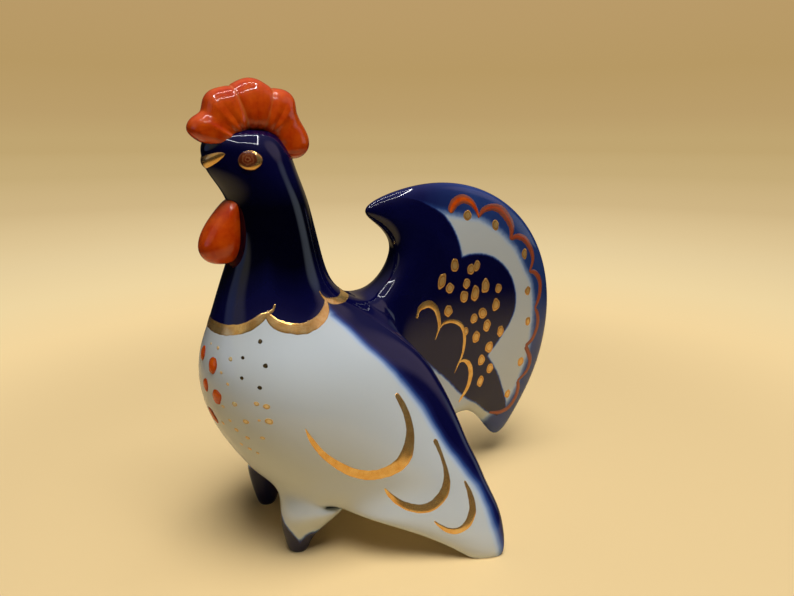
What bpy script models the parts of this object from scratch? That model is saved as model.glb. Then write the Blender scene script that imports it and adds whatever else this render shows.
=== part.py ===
"""Porcelain rooster figurine that stands on two feet and two wing tips.

The outside is one smooth skin: horizontal slices of the torso, neck and head, with the
legs, the wings and the tail drawn out of it. The skin is hollowed as a slip casting is,
and parted along its luting seams into the castings that are joined before firing. The
comb, wattle, beak and eyes are formed apart and seated on the head.

The bird faces -Y and its left is +X. Depths (y) count from the line through its feet.
"""

import math
from collections import namedtuple

import bmesh
import bpy
from mathutils import Matrix, Vector

MM = 0.001
FAR = 160 * MM  # beyond the bird on every side

# Clay, seams and vent
WALL = 3.5 * MM
SEAM = 0.3 * MM
VENT_RADIUS = 3.5 * MM
VENT_Y = 13.0 * MM
BELLY_Z = 16.0 * MM

# Seams between the castings
NECK_SEAM_Z = 71.0 * MM
FOOT_SEAM_Z = 10.5 * MM
FOOT_SEAM_MARGIN = 1.0 * MM  # beyond the top of the leg all round
TAIL_SEAM_Y = 35.0 * MM
TAIL_SEAM_MARGIN = 1.5 * MM  # beyond each side of the tail's root
TAIL_TIP_Y = 22.0 * MM  # the tail's upper tip hangs forward as far as this
SADDLE_Z = 78.0 * MM  # above the low point between the neck and the tail
SADDLE_SLOPE = 10.0 * MM
WING_SEAM_NORMAL = Vector((0.85, 0.30, -0.43)).normalized()
WING_SEAM_DISTANCE = 16.5 * MM

# Slices and stations, in millimetres
Slice = namedtuple("Slice", "z front half_width widest_y flank ridge_x ridge_y back root_half")
TORSO = (
    Slice(21.0, -7.4, 25.0, 11.0, 3.2, 42.8, 51.4, 43.0, 7.0),
    Slice(26.0, -11.0, 26.6, 10.5, 2.6, 40.3, 51.0, 42.3, 7.3),
    Slice(31.0, -14.2, 27.6, 9.5, 2.1, 37.4, 50.4, 41.3, 7.6),
    Slice(37.0, -17.5, 28.2, 8.0, 1.6, 33.8, 49.3, 40.5, 8.0),
    Slice(43.5, -20.0, 28.1, 6.5, 1.2, 30.0, 47.6, 40.0, 8.0),
    Slice(50.0, -21.4, 27.4, 5.5, 0.9, 26.4, 45.0, 39.5, 8.0),
    Slice(56.5, -21.5, 25.7, 4.6, 0.7, 22.6, 41.0, 39.0, 8.0),
    Slice(62.5, -20.3, 22.7, 3.6, 0.6, 18.3, 34.6, 38.0, 8.0),
    Slice(67.5, -18.4, 19.3, 3.0, 0.5, 14.4, 27.6, 36.2, 7.6),
    Slice(71.5, -17.0, 16.7, 2.1, 0.4, 11.4, 21.6, 30.0, 6.8),
)
Oval = namedtuple("Oval", "z front back half_width pinch")
NECK = (
    Oval(76.0, -15.5, 20.6, 14.3, 0.0),
    Oval(82.0, -13.3, 17.5, 12.5, 0.0),
    Oval(89.0, -10.4, 15.8, 11.3, 0.0),
    Oval(97.0, -9.0, 14.0, 10.7, 0.0),
    Oval(103.5, -10.5, 12.4, 10.4, 0.10),
    Oval(108.0, -13.0, 10.8, 10.2, 0.22),
    Oval(112.0, -15.4, 9.4, 10.0, 0.36),
    Oval(116.0, -16.3, 8.2, 9.6, 0.38),
    Oval(119.6, -16.0, 6.4, 8.2, 0.22),
    Oval(122.6, -11.0, 3.8, 5.2, 0.15),
)
FLANK_SHARES = (0.25, 0.65, 1.0)
RUMP_SHARES = (0.42, 0.78, 1.0)
HOLLOW_NECK_SLICES = 6
CORNERS_ROUND = 24
HOLLOW_CORNERS_ROUND = 16
BELLY_CENTRE_Y = 17.0
BELLY_SHARE = 0.55
# Columns of the lowest slice that the legs and wings are drawn out of, and the number of
# slices that the tail springs from
LEG_COLUMNS = slice(1, 5)
WING_COLUMNS = slice(5, 10)
TAIL_ROOT_SLICES = 9
SHARP_DEG = 40

LegStation = namedtuple("LegStation", "z x y half_x half_y")
LEG = (
    LegStation(14.5, 15.4, 4.4, 7.8, 11.2),
    LegStation(9.5, 14.9, 2.2, 5.6, 7.9),
    LegStation(5.0, 14.4, 0.5, 4.3, 5.3),
    LegStation(1.8, 14.1, 0.0, 3.6, 3.8),
    LegStation(-1.0, 14.1, 0.0, 2.6, 2.8),
)
LEG_CORNERS_DEG = (-50, 0, 50, 100, 135, 170, 215, 260)

WingStation = namedtuple("WingStation", "z front_x front_y ridge_x ridge_y thick")
WING = (
    WingStation(14.3, 30.5, 16.5, 45.4, 51.8, 9.5),
    WingStation(8.6, 37.2, 27.8, 47.8, 52.2, 8.2),
    WingStation(3.2, 42.6, 37.4, 49.5, 52.2, 6.5),
    WingStation(-1.0, 45.0, 42.5, 49.3, 51.0, 4.5),
)
# Where each corner of a wing's ring lies: its share of the chord, and its offset as a
# share of the thickness, outwards from the chord.
WING_RING = (
    (0.02, 0.08), (0.32, 0.24), (0.70, 0.22), (1.0, 0.0), (0.93, -0.55),
    (0.72, -0.72), (0.55, -0.75), (0.36, -0.68), (0.18, -0.52), (0.0, -0.2),
)

# The tail, as (y, z) of its edges from root to rim and of its round rim
TAIL_LOWER_EDGE = ((50.0, 22.0), (59.0, 21.5), (70.0, 23.5), (80.0, 18.5), (89.5, 3.5))
TAIL_UPPER_EDGE = ((39.0, 73.8), (42.0, 79.5), (41.4, 87.5), (36.3, 93.5), (26.3, 98.0))
TAIL_CENTRE = (62.6, 56.7)
TAIL_RADIUS = 49.8
TAIL_RIM_DEG = (-51, -28, -2, 24, 50, 76, 103)
TAIL_SHARES = (0.18, 0.40, 0.65, 0.87, 1.0)
TAIL_HALF_THICK = (7.0, 6.3, 5.4, 4.0, 2.3)

# The comb fans out round a point of the head. Each lobe has its two edges in degrees,
# its reach at its middle, and the reach at the notch where it starts.
COMB_CENTRE = (-2.0, 116.0)
COMB_ROOT_RADIUS = 5.0
COMB_HALF_THICK = 5.8
COMB_GROOVE = 1.4
CombLobe = namedtuple("CombLobe", "start end reach notch")
COMB = (
    CombLobe(171, 141, 19.1, 13.2),
    CombLobe(141, 108, 19.7, 17.0),
    CombLobe(108, 72, 20.1, 18.5),
    CombLobe(72, 42, 19.9, 18.2),
    CombLobe(42, -10, 16.9, 16.7),
)
COMB_END_REACH = 12.8
COMB_LOBE_DROP = 0.6
COMB_SECTION_DEG = (-90, -62, -32, 0, 32, 62, 90)
COMB_CREST_POWER = 0.6
COMB_SIDE_POWER = 0.7

WattleSlice = namedtuple("WattleSlice", "z y half_y half_x")
WATTLE = (
    WattleSlice(104.2, -9.6, 1.6, 1.5),
    WattleSlice(101.6, -10.9, 3.1, 2.9),
    WattleSlice(98.0, -12.1, 4.9, 4.5),
    WattleSlice(94.2, -12.9, 6.2, 5.9),
    WattleSlice(90.6, -13.0, 6.4, 6.3),
    WattleSlice(87.8, -12.9, 4.9, 4.9),
    WattleSlice(86.6, -12.9, 2.0, 2.0),
)
WATTLE_CORNERS = 10

# The beak is a lens bent round the head's front, with its corners raised
BEAK_Z = 114.0 * MM
BEAK_HALF_WIDTH = 6.3 * MM
BEAK_RISE = 2.3 * MM
BEAK_RISE_POWER = 1.6
BEAK_HALF_HEIGHT = 2.3 * MM
BEAK_CORNER_SHARE = 0.15  # of its height, left at its corners
BEAK_PROUD = 1.1 * MM
BEAK_DEPTH = 4.0 * MM
BEAK_SHARES = (-1.0, -0.8, -0.45, 0.0, 0.45, 0.8, 1.0)
BEAK_CORNERS = 8

EYE_Y = -5.8 * MM
EYE_Z = 114.4 * MM
EYE_HALF_LENGTH = 3.2 * MM
EYE_HALF_HEIGHT = 2.6 * MM
EYE_PROUD = 1.2 * MM

PORCELAIN = ("porcelain", (0.83, 0.85, 0.87), 0.12, 0.0)
COBALT = ("cobalt_glaze", (0.01, 0.012, 0.09), 0.10, 0.0)
ORANGE = ("orange_enamel", (0.78, 0.13, 0.02), 0.16, 0.0)
GILT = ("gilt", (0.75, 0.47, 0.12), 0.25, 1.0)


def torso_outline(cut):
    """The left half of a torso slice, from the breast round to the tail's root."""
    side = Vector((cut.half_width, cut.widest_y))
    ridge = Vector((cut.ridge_x, cut.ridge_y))
    root = Vector((cut.root_half, cut.back))
    depth = cut.widest_y - cut.front
    turns = [math.radians((k + 0.5) * 360 / CORNERS_ROUND) for k in range(CORNERS_ROUND // 4)]
    points = [
        Vector((cut.half_width * math.sin(a), cut.widest_y - depth * math.cos(a))) for a in turns
    ]
    chord = ridge - side
    out = Vector((chord.y, -chord.x)).normalized() * cut.flank
    for share in FLANK_SHARES:
        points.append(side + chord * share + out * 4 * share * (1 - share))
    points += [ridge.lerp(root, share) for share in RUMP_SHARES]
    return points


def oval_outline(cut, corners):
    """The left half of an oval slice, narrower in front by its pinch."""
    middle = (cut.front + cut.back) / 2
    reach = (cut.back - cut.front) / 2
    points = []
    for k in range(corners // 2):
        angle = math.radians((k + 0.5) * 360 / corners)
        width = cut.half_width * (1 - cut.pinch * max(0.0, math.cos(angle)))
        points.append(Vector((width * math.sin(angle), middle - reach * math.cos(angle))))
    return points


def whole_ring(half, z):
    """Both halves of a slice, in metres, from the breast round by the bird's left."""
    left = [Vector((p.x, p.y, z)) * MM for p in half]
    right = [Vector((-p.x, p.y, z)) * MM for p in reversed(half)]
    return left + right


def grown_corners(ring, made, places):
    """The new corners that an extrusion gave a ring's corners, moved to their places."""
    fresh = {v for v in made if isinstance(v, bmesh.types.BMVert)}
    grown = []
    for corner, place in zip(ring, places):
        others = [e.other_vert(corner) for e in corner.link_edges]
        new = next(v for v in others if v in fresh)
        new.co = place
        grown.append(new)
    return grown


def extrude_ring(bm, ring, places):
    edges = [bm.edges.get(pair) for pair in zip(ring, ring[1:] + ring[:1])]
    made = bmesh.ops.extrude_edge_only(bm, edges=edges)["geom"]
    return grown_corners(ring, made, places)


def stack(bm, slices):
    """A tube through the slices, and the list of its rings of corners."""
    ring = bmesh.ops.create_circle(bm, segments=len(slices[0]))["verts"]
    for corner, place in zip(ring, slices[0]):
        corner.co = place
    rings = [list(ring)]
    for places in slices[1:]:
        rings.append(extrude_ring(bm, rings[-1], places))
    return rings


def close_ring(bm, ring):
    bmesh.ops.contextual_create(bm, geom=ring)


def draw_out(bm, corners, others, stations):
    """Draws the strip of faces between two runs of corners out through the stations."""
    pairs = list(zip(corners, others))
    faces = []
    for near, far in zip(pairs, pairs[1:]):
        shared = set.intersection(*(set(v.link_faces) for v in near + far))
        faces.append(shared.pop())
    ring = list(corners) + list(reversed(others))
    for places in stations:
        made = bmesh.ops.extrude_face_region(bm, geom=faces)["geom"]
        old = [f for f in faces if f.is_valid]
        bmesh.ops.delete(bm, geom=old, context="FACES")
        faces = [g for g in made if isinstance(g, bmesh.types.BMFace)]
        ring = grown_corners(ring, made, places)


def leg_ring(station, side):
    places = []
    for degrees in LEG_CORNERS_DEG:
        angle = math.radians(degrees)
        x = station.x + station.half_x * math.sin(angle)
        y = station.y - station.half_y * math.cos(angle)
        places.append(Vector((x * side, y, station.z)) * MM)
    return places


def wing_ring(station, side):
    front = Vector((station.front_x, station.front_y))
    chord = Vector((station.ridge_x, station.ridge_y)) - front
    out = Vector((chord.y, -chord.x)).normalized() * station.thick
    points = [front + chord * share + out * offset for share, offset in WING_RING]
    return [Vector((p.x * side, p.y, station.z)) * MM for p in points]


def tail_ring(number, roots):
    """One station of the tail: up its left rows and down its right rows.

    The rows in between follow both edges, as a patch between its four sides does.
    """
    share = TAIL_SHARES[number]
    centre = Vector(TAIL_CENTRE)
    rim = [Vector(TAIL_LOWER_EDGE[-1])]
    for degrees in TAIL_RIM_DEG:
        angle = math.radians(degrees)
        rim.append(centre + Vector((math.cos(angle), math.sin(angle))) * TAIL_RADIUS)
    rim.append(Vector(TAIL_UPPER_EDGE[-1]))
    lower = Vector(TAIL_LOWER_EDGE[number]) - roots[0].lerp(rim[0], share)
    upper = Vector(TAIL_UPPER_EDGE[number]) - roots[-1].lerp(rim[-1], share)
    rows = []
    for j, (root, end) in enumerate(zip(roots, rim)):
        up = j / (len(rim) - 1)
        rows.append(root.lerp(end, share) + lower * (1 - up) + upper * up)
    half = TAIL_HALF_THICK[number]
    left = [Vector((half, p.x, p.y)) * MM for p in rows]
    right = [Vector((-half, p.x, p.y)) * MM for p in reversed(rows)]
    return left + right


def skin_cage():
    """The bird's coarse closed skin, before smoothing."""
    bm = bmesh.new()
    slices = [whole_ring(torso_outline(s), s.z) for s in TORSO]
    slices += [whole_ring(oval_outline(s, CORNERS_ROUND), s.z) for s in NECK]
    rings = stack(bm, slices)
    close_ring(bm, rings[-1])
    middle = Vector((0.0, BELLY_CENTRE_Y * MM, BELLY_Z))
    inner = [middle.lerp(corner.co, BELLY_SHARE) for corner in rings[0]]
    for place in inner:
        place.z = BELLY_Z
    belly = extrude_ring(bm, rings[0], inner)
    close_ring(bm, belly)
    for side in (1, -1):
        numbers = [n if side > 0 else CORNERS_ROUND - 1 - n for n in range(CORNERS_ROUND // 2)]
        outer = [rings[0][n] for n in numbers]
        under = [belly[n] for n in numbers]
        legs = [leg_ring(station, side) for station in LEG]
        wings = [wing_ring(station, side) for station in WING]
        draw_out(bm, outer[LEG_COLUMNS], under[LEG_COLUMNS], legs)
        draw_out(bm, outer[WING_COLUMNS], under[WING_COLUMNS], wings)
    rows = rings[:TAIL_ROOT_SLICES]
    left = [ring[CORNERS_ROUND // 2 - 1] for ring in rows]
    right = [ring[CORNERS_ROUND // 2] for ring in rows]
    roots = [Vector((corner.co.y, corner.co.z)) / MM for corner in left]
    draw_out(bm, left, right, [tail_ring(n, roots) for n in range(len(TAIL_SHARES))])
    return bm


def hollow_cage():
    """The space inside the body and neck, one wall in from the skin."""
    wall = WALL / MM
    deepest = TAIL_SEAM_Y / MM - wall
    lowest = BELLY_Z / MM + wall
    slices = []
    for cut in TORSO + NECK[:HOLLOW_NECK_SLICES]:
        if cut.z > lowest + wall:
            back = min(cut.back - wall, deepest)
            half = cut.half_width - wall
            slices.append(Oval(cut.z, cut.front + wall, back, half, 0.0))
    floor = slices[0]
    reach = (floor.back - floor.front) / 4
    slices.insert(0, Oval(lowest, floor.front + reach, floor.back - reach, floor.half_width / 2, 0))
    bm = bmesh.new()
    rings = stack(bm, [whole_ring(oval_outline(s, HOLLOW_CORNERS_ROUND), s.z) for s in slices])
    close_ring(bm, rings[0])
    close_ring(bm, rings[-1])
    return bm


def comb_cage():
    bm = bmesh.new()
    slices = []
    columns = []
    for lobe in COMB:
        columns.append((lobe.start, lobe.notch, COMB_HALF_THICK - COMB_GROOVE))
        for share in (0.25, 0.5, 0.75):
            degrees = lobe.start + (lobe.end - lobe.start) * share
            drop = 0.0 if share == 0.5 else COMB_LOBE_DROP
            columns.append((degrees, lobe.reach - drop, COMB_HALF_THICK))
    columns.append((COMB[-1].end, COMB_END_REACH, COMB_HALF_THICK - COMB_GROOVE))
    for degrees, radius, half in columns:
        angle = math.radians(degrees)
        places = []
        for turn in COMB_SECTION_DEG:
            a = math.radians(turn)
            out = COMB_ROOT_RADIUS + (radius - COMB_ROOT_RADIUS) * math.cos(a) ** COMB_CREST_POWER
            x = half * math.copysign(abs(math.sin(a)) ** COMB_SIDE_POWER, a)
            y = COMB_CENTRE[0] + out * math.cos(angle)
            z = COMB_CENTRE[1] + out * math.sin(angle)
            places.append(Vector((x, y, z)) * MM)
        slices.append(places)
    rings = stack(bm, slices)
    close_ring(bm, rings[0])
    close_ring(bm, rings[-1])
    return bm


def wattle_cage():
    bm = bmesh.new()
    slices = []
    for cut in WATTLE:
        oval = Oval(cut.z, cut.y - cut.half_y, cut.y + cut.half_y, cut.half_x, 0.0)
        slices.append(whole_ring(oval_outline(oval, WATTLE_CORNERS), cut.z))
    rings = stack(bm, slices)
    close_ring(bm, rings[0])
    close_ring(bm, rings[-1])
    return bm


def touch(solid, start, heading):
    """Where a ray first meets a solid's surface, and the way that the surface faces."""
    hit, place, normal, _ = solid.ray_cast(start, heading)
    if not hit:
        raise ValueError("a piece lies beyond the head that carries it")
    return place, normal


def beak_cage(head):
    bm = bmesh.new()
    slices = []
    for share in BEAK_SHARES:
        swell = BEAK_CORNER_SHARE + (1 - BEAK_CORNER_SHARE) * math.sqrt(1 - share * share)
        x = BEAK_HALF_WIDTH * share
        z = BEAK_Z + BEAK_RISE * abs(share) ** BEAK_RISE_POWER
        skin_y = touch(head, Vector((x, -FAR, z)), Vector((0, 1, 0)))[0].y
        places = []
        for k in range(BEAK_CORNERS):
            angle = math.radians(k * 360 / BEAK_CORNERS)
            y = skin_y - BEAK_PROUD * swell + BEAK_DEPTH * (1 - math.cos(angle)) / 2
            places.append(Vector((x, y, z + BEAK_HALF_HEIGHT * swell * math.sin(angle))))
        slices.append(places)
    rings = stack(bm, slices)
    close_ring(bm, rings[0])
    close_ring(bm, rings[-1])
    return bm


def eye_cage(head, side):
    """A lens whose thin axis stands square on the side of the head."""
    place, normal = touch(head, Vector((FAR * side, EYE_Y, EYE_Z)), Vector((-side, 0, 0)))
    turn = normal.to_track_quat("Z", "Y").to_matrix().to_4x4()
    size = Matrix.Diagonal((EYE_HALF_LENGTH, EYE_HALF_HEIGHT, EYE_PROUD, 1))
    bm = bmesh.new()
    matrix = Matrix.Translation(place) @ turn @ size
    bmesh.ops.create_uvsphere(bm, u_segments=16, v_segments=10, radius=1.0, matrix=matrix)
    return bm


def box_cage(low, high):
    bm = bmesh.new()
    low, high = Vector(low), Vector(high)
    size = high - low
    place = Matrix.Translation((low + high) / 2) @ Matrix.Diagonal((*size, 1))
    bmesh.ops.create_cube(bm, size=1.0, matrix=place)
    return bm


# Blocks that part the castings. Each can be made larger all round by a gap.
def head_block(gap):
    return box_cage((-FAR, -FAR, NECK_SEAM_Z - gap), (FAR, FAR, FAR))


def foot_block(side, gap):
    top = LEG[0]
    half_x = top.half_x * MM + FOOT_SEAM_MARGIN + gap
    half_y = top.half_y * MM + FOOT_SEAM_MARGIN + gap
    x, y = side * top.x * MM, top.y * MM
    return box_cage((x - half_x, y - half_y, -FAR), (x + half_x, y + half_y, FOOT_SEAM_Z + gap))


def wing_block(side, gap):
    """The space beyond the wing's seam, which slants across the wing's root."""
    bm = bmesh.new()
    bmesh.ops.create_cube(bm, size=2 * FAR)
    normal = Vector((WING_SEAM_NORMAL.x * side, WING_SEAM_NORMAL.y, WING_SEAM_NORMAL.z))
    turn = normal.to_track_quat("Z", "Y").to_matrix().to_4x4()
    middle = normal * (WING_SEAM_DISTANCE - gap + FAR)
    bmesh.ops.transform(bm, matrix=Matrix.Translation(middle) @ turn, verts=bm.verts)
    return bm


def tail_block(gap):
    """Everything behind the tail's seam, which steps back under the rump and forward above."""
    root_half = max(cut.root_half for cut in TORSO) * MM
    y, half = TAIL_SEAM_Y - gap, root_half + TAIL_SEAM_MARGIN + gap
    outline = (
        (y, 0.0), (FAR, 0.0), (FAR, FAR), (TAIL_TIP_Y, FAR), (TAIL_TIP_Y, SADDLE_Z + SADDLE_SLOPE),
        (y, SADDLE_Z),
    )
    bm = bmesh.new()
    corners = [bm.verts.new((-half, depth, z)) for depth, z in outline]
    face = bm.faces.new(corners)
    made = bmesh.ops.extrude_face_region(bm, geom=[face])["geom"]
    moved = [v for v in made if isinstance(v, bmesh.types.BMVert)]
    bmesh.ops.translate(bm, verts=moved, vec=(2 * half, 0, 0))
    return bm


def floor_block():
    return box_cage((-FAR, -FAR, -FAR), (FAR, FAR, 0.0))


def vent_cage():
    bm = bmesh.new()
    place = Matrix.Translation((0.0, VENT_Y, BELLY_Z))
    bmesh.ops.create_cone(
        bm, cap_ends=True, segments=24, radius1=VENT_RADIUS, radius2=VENT_RADIUS,
        depth=4 * WALL, matrix=place,
    )
    return bm


def material(name, colour, roughness, metallic):
    made = bpy.data.materials.new(name)
    made.diffuse_color = (*colour, 1.0)
    made.use_nodes = True
    shader = made.node_tree.nodes["Principled BSDF"]
    shader.inputs["Base Color"].default_value = (*colour, 1.0)
    shader.inputs["Roughness"].default_value = roughness
    shader.inputs["Metallic"].default_value = metallic
    return made


def as_object(name, bm, parent, smoothed=False):
    bmesh.ops.recalc_face_normals(bm, faces=bm.faces)
    mesh = bpy.data.meshes.new(name)
    bm.to_mesh(mesh)
    bm.free()
    made = bpy.data.objects.new(name, mesh)
    bpy.context.scene.collection.objects.link(made)
    made.parent = parent
    if smoothed:
        smooth = made.modifiers.new("smooth", "SUBSURF")
        smooth.levels = 1
        smooth.render_levels = 1
    return made


def as_tool(name, bm, parent, smoothed=False):
    made = as_object(name, bm, parent, smoothed)
    made.hide_render = True
    made.display_type = "WIRE"
    return made


def cut(piece, operation, tools):
    for tool in tools:
        boolean = piece.modifiers.new(tool.name, "BOOLEAN")
        boolean.operation = operation
        boolean.solver = "EXACT"
        boolean.object = tool


def finish(piece, surface):
    """Applies the piece's modifiers, and shades it smooth but for its cut edges."""
    graph = bpy.context.evaluated_depsgraph_get()
    mesh = bpy.data.meshes.new_from_object(piece.evaluated_get(graph))
    piece.modifiers.clear()
    piece.data = mesh
    mesh.materials.clear()
    mesh.materials.append(surface)
    mesh.shade_smooth()
    mesh.set_sharp_from_angle(angle=math.radians(SHARP_DEG))


def build():
    for old in list(bpy.data.objects):
        bpy.data.objects.remove(old)
    figurine = bpy.data.objects.new("figurine", None)
    bpy.context.scene.collection.objects.link(figurine)
    surfaces = {m[0]: material(*m) for m in (PORCELAIN, COBALT, ORANGE, GILT)}
    sides = (("left", 1), ("right", -1))

    hollow = as_tool("hollow", hollow_cage(), figurine, smoothed=True)
    vent = as_tool("vent", vent_cage(), figurine)
    floor = as_tool("floor", floor_block(), figurine)
    head_tool = as_tool("head_tool", head_block(SEAM), figurine)
    tail_tool = as_tool("tail_tool", tail_block(SEAM), figurine)
    limb_tools = []
    for side, sign in sides:
        limb_tools.append(as_tool(side + "_wing_tool", wing_block(sign, SEAM), figurine))
        limb_tools.append(as_tool(side + "_foot_tool", foot_block(sign, SEAM), figurine))

    def casting(name, surface, inside, outside):
        piece = as_object(name, skin_cage(), figurine, smoothed=True)
        cut(piece, "INTERSECT", inside)
        cut(piece, "DIFFERENCE", outside)
        finish(piece, surfaces[surface])

    casting("body", "porcelain", [], [head_tool, tail_tool, *limb_tools, hollow, vent])
    head = as_tool("head_region", head_block(0.0), figurine)
    casting("neck_and_head", "cobalt_glaze", [head], [tail_tool, hollow])
    tail = as_tool("tail_region", tail_block(0.0), figurine)
    casting("tail_fan", "cobalt_glaze", [tail], [])
    for side, sign in sides:
        wing = as_tool(side + "_wing_region", wing_block(sign, 0.0), figurine)
        casting(side + "_wing", "porcelain", [wing], [tail_tool, floor])
        foot = as_tool(side + "_foot_region", foot_block(sign, 0.0), figurine)
        casting(side + "_foot", "cobalt_glaze", [foot], [floor])

    seat = as_tool("head_seat", skin_cage(), figurine, smoothed=True)
    swell = seat.modifiers.new("seam", "DISPLACE")
    swell.strength = SEAM
    swell.mid_level = 0.0
    graph = bpy.context.evaluated_depsgraph_get()
    skin = seat.evaluated_get(graph)
    trims = [
        ("comb", comb_cage(), "orange_enamel", True),
        ("wattle", wattle_cage(), "orange_enamel", True),
        ("beak", beak_cage(skin), "gilt", True),
    ]
    trims += [(side + "_eye", eye_cage(skin, sign), "gilt", False) for side, sign in sides]
    depths = [corner.co.y for corner in skin.data.vertices]
    for name, cage, surface, smoothed in trims:
        piece = as_object(name, cage, figurine, smoothed)
        cut(piece, "DIFFERENCE", [seat])
        finish(piece, surfaces[surface])

    # The origin is under the middle of the bird's length, from its breast to its tail's rim.
    figurine.location.y = -(min(depths) + max(depths)) / 2


build()
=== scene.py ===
"""Porcelain rooster, glazed, painted and gilded.

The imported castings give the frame. Each one gets its smooth glazed skin, and the brushwork
is laid on that skin as raised strokes and dabs, as a decorator's brush leaves them.

The bird faces -Y and its left is +X. Depths (y) count from the line through its feet, and
each finished mesh is moved by FEET_Y into the frame.
"""

import functools
import math
from collections import namedtuple

import bmesh
import bpy
import numpy as np
from bpy.props import FloatProperty, FloatVectorProperty, IntProperty, PointerProperty
from bpy.types import Operator, Panel, PropertyGroup
from mathutils import Matrix, Vector, noise
from mathutils.bvhtree import BVHTree


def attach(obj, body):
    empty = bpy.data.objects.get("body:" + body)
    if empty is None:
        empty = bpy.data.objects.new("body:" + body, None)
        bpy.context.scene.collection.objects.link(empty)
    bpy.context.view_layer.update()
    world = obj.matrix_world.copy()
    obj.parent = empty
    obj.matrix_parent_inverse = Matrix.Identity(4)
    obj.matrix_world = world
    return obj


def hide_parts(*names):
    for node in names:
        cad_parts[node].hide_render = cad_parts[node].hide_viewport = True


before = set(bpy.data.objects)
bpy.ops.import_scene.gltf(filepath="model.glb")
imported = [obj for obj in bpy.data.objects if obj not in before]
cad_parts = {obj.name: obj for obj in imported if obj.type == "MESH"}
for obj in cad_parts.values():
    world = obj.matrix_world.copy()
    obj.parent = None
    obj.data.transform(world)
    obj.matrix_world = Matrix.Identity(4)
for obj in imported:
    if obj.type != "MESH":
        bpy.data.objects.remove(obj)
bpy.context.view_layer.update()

bl_info = {
    "name": "Porcelain rooster",
    "version": (1, 0, 0),
    "blender": (4, 5, 0),
    "location": "3D View > Sidebar > Rooster",
    "description": "Builds a glazed porcelain rooster with cobalt, enamel and gilt brushwork",
    "category": "Object",
}

MM = 0.001
FAR = 160 * MM  # where rays at the bird start from
FEET_Y = -44.63 * MM  # the line through the feet, in the frame
CUT_MERGE = 0.002 * MM  # corners that lie nearer to a cut than this move onto it

# Slices and stations, in millimetres
Slice = namedtuple("Slice", "z front half_width widest_y flank ridge_x ridge_y back root_half")
TORSO = (
    Slice(21.0, -7.4, 25.0, 11.0, 3.2, 43.7, 53.2, 43.0, 7.0),
    Slice(26.0, -11.0, 26.6, 10.5, 2.6, 40.9, 52.2, 42.3, 7.3),
    Slice(31.0, -14.2, 27.6, 9.5, 2.1, 37.4, 50.4, 41.3, 7.6),
    Slice(37.0, -17.5, 28.2, 8.0, 1.6, 33.8, 49.3, 40.5, 8.0),
    Slice(43.5, -20.0, 28.1, 6.5, 1.2, 30.0, 47.6, 40.0, 8.0),
    Slice(50.0, -21.4, 27.4, 5.5, 0.9, 26.4, 45.0, 39.5, 8.0),
    Slice(56.5, -21.5, 25.7, 4.6, 0.7, 22.6, 41.0, 39.0, 8.0),
    Slice(62.5, -20.3, 22.7, 3.6, 0.6, 18.3, 34.6, 38.0, 8.0),
    Slice(67.5, -18.4, 19.3, 3.0, 0.5, 14.4, 27.6, 36.2, 7.6),
    Slice(71.5, -17.0, 16.7, 2.1, 0.4, 11.4, 21.6, 30.0, 6.8),
)
Oval = namedtuple("Oval", "z front back half_width pinch")
NECK = (
    Oval(76.0, -15.5, 20.6, 14.3, 0.0),
    Oval(82.0, -13.3, 17.5, 12.5, 0.0),
    Oval(89.0, -10.4, 15.8, 11.3, 0.0),
    Oval(97.0, -9.0, 14.0, 10.7, 0.0),
    Oval(103.5, -9.9, 12.4, 10.4, 0.10),
    Oval(108.0, -12.5, 10.8, 10.2, 0.22),
    Oval(112.0, -15.4, 9.4, 10.0, 0.36),
    Oval(116.0, -16.3, 8.2, 9.6, 0.38),
    Oval(119.6, -16.0, 6.4, 8.2, 0.22),
    Oval(122.6, -11.0, 3.8, 5.2, 0.15),
)
FLANK_SHARES = (0.25, 0.65, 1.0)
RUMP_SHARES = (0.42, 0.78, 1.0)
CORNERS_ROUND = 24
BELLY_CENTRE_Y = 17.0
BELLY_SHARE = 0.55
BELLY_Z = 16.0 * MM
# Columns of the lowest slice that the legs and wings are drawn out of, and the number of
# slices that the tail springs from
LEG_COLUMNS = slice(1, 5)
WING_COLUMNS = slice(5, 10)
TAIL_ROOT_SLICES = 9
# Corners between the leg and the wing, which hang lower as a web, and by how much
WEB_CORNERS = slice(4, 6)
WEB_DROP = 5.0 * MM

LegStation = namedtuple("LegStation", "z x y half_x half_y")
LEG = (
    LegStation(15.0, 16.6, 5.6, 8.8, 12.6),
    LegStation(9.5, 15.2, 2.8, 6.0, 8.8),
    LegStation(5.0, 14.4, 0.5, 4.3, 5.3),
    LegStation(1.8, 14.1, 0.0, 3.6, 3.8),
    LegStation(-1.0, 14.1, 0.0, 2.6, 2.8),
)
LEG_CORNERS_DEG = (-50, 0, 50, 100, 135, 170, 215, 260)

WingStation = namedtuple("WingStation", "z front_x front_y ridge_x ridge_y thick")
WING = (
    WingStation(14.3, 29.8, 13.2, 46.2, 53.4, 9.5),
    WingStation(8.6, 37.2, 27.8, 48.2, 53.0, 8.2),
    WingStation(3.2, 42.6, 37.4, 49.5, 52.2, 6.5),
    WingStation(-1.0, 45.0, 42.5, 49.3, 51.0, 4.5),
)
# Where each corner of a wing's ring lies: its share of the chord, and its offset as a
# share of the thickness, outwards from the chord.
WING_RING = (
    (0.02, 0.08), (0.32, 0.24), (0.70, 0.22), (1.0, 0.0), (0.93, -0.55),
    (0.72, -0.72), (0.55, -0.75), (0.36, -0.68), (0.18, -0.52), (0.0, -0.2),
)

# The tail, as (y, z) of its edges from root to rim and of its middle
TAIL_LOWER_EDGE = ((50.0, 22.0), (59.0, 21.5), (70.0, 23.5), (79.5, 18.0), (87.8, 2.8))
TAIL_UPPER_EDGE = ((36.8, 76.6), (39.9, 80.8), (41.3, 87.0), (36.3, 93.5), (26.0, 99.3))
TAIL_CENTRE = (62.6, 56.7)
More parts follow.
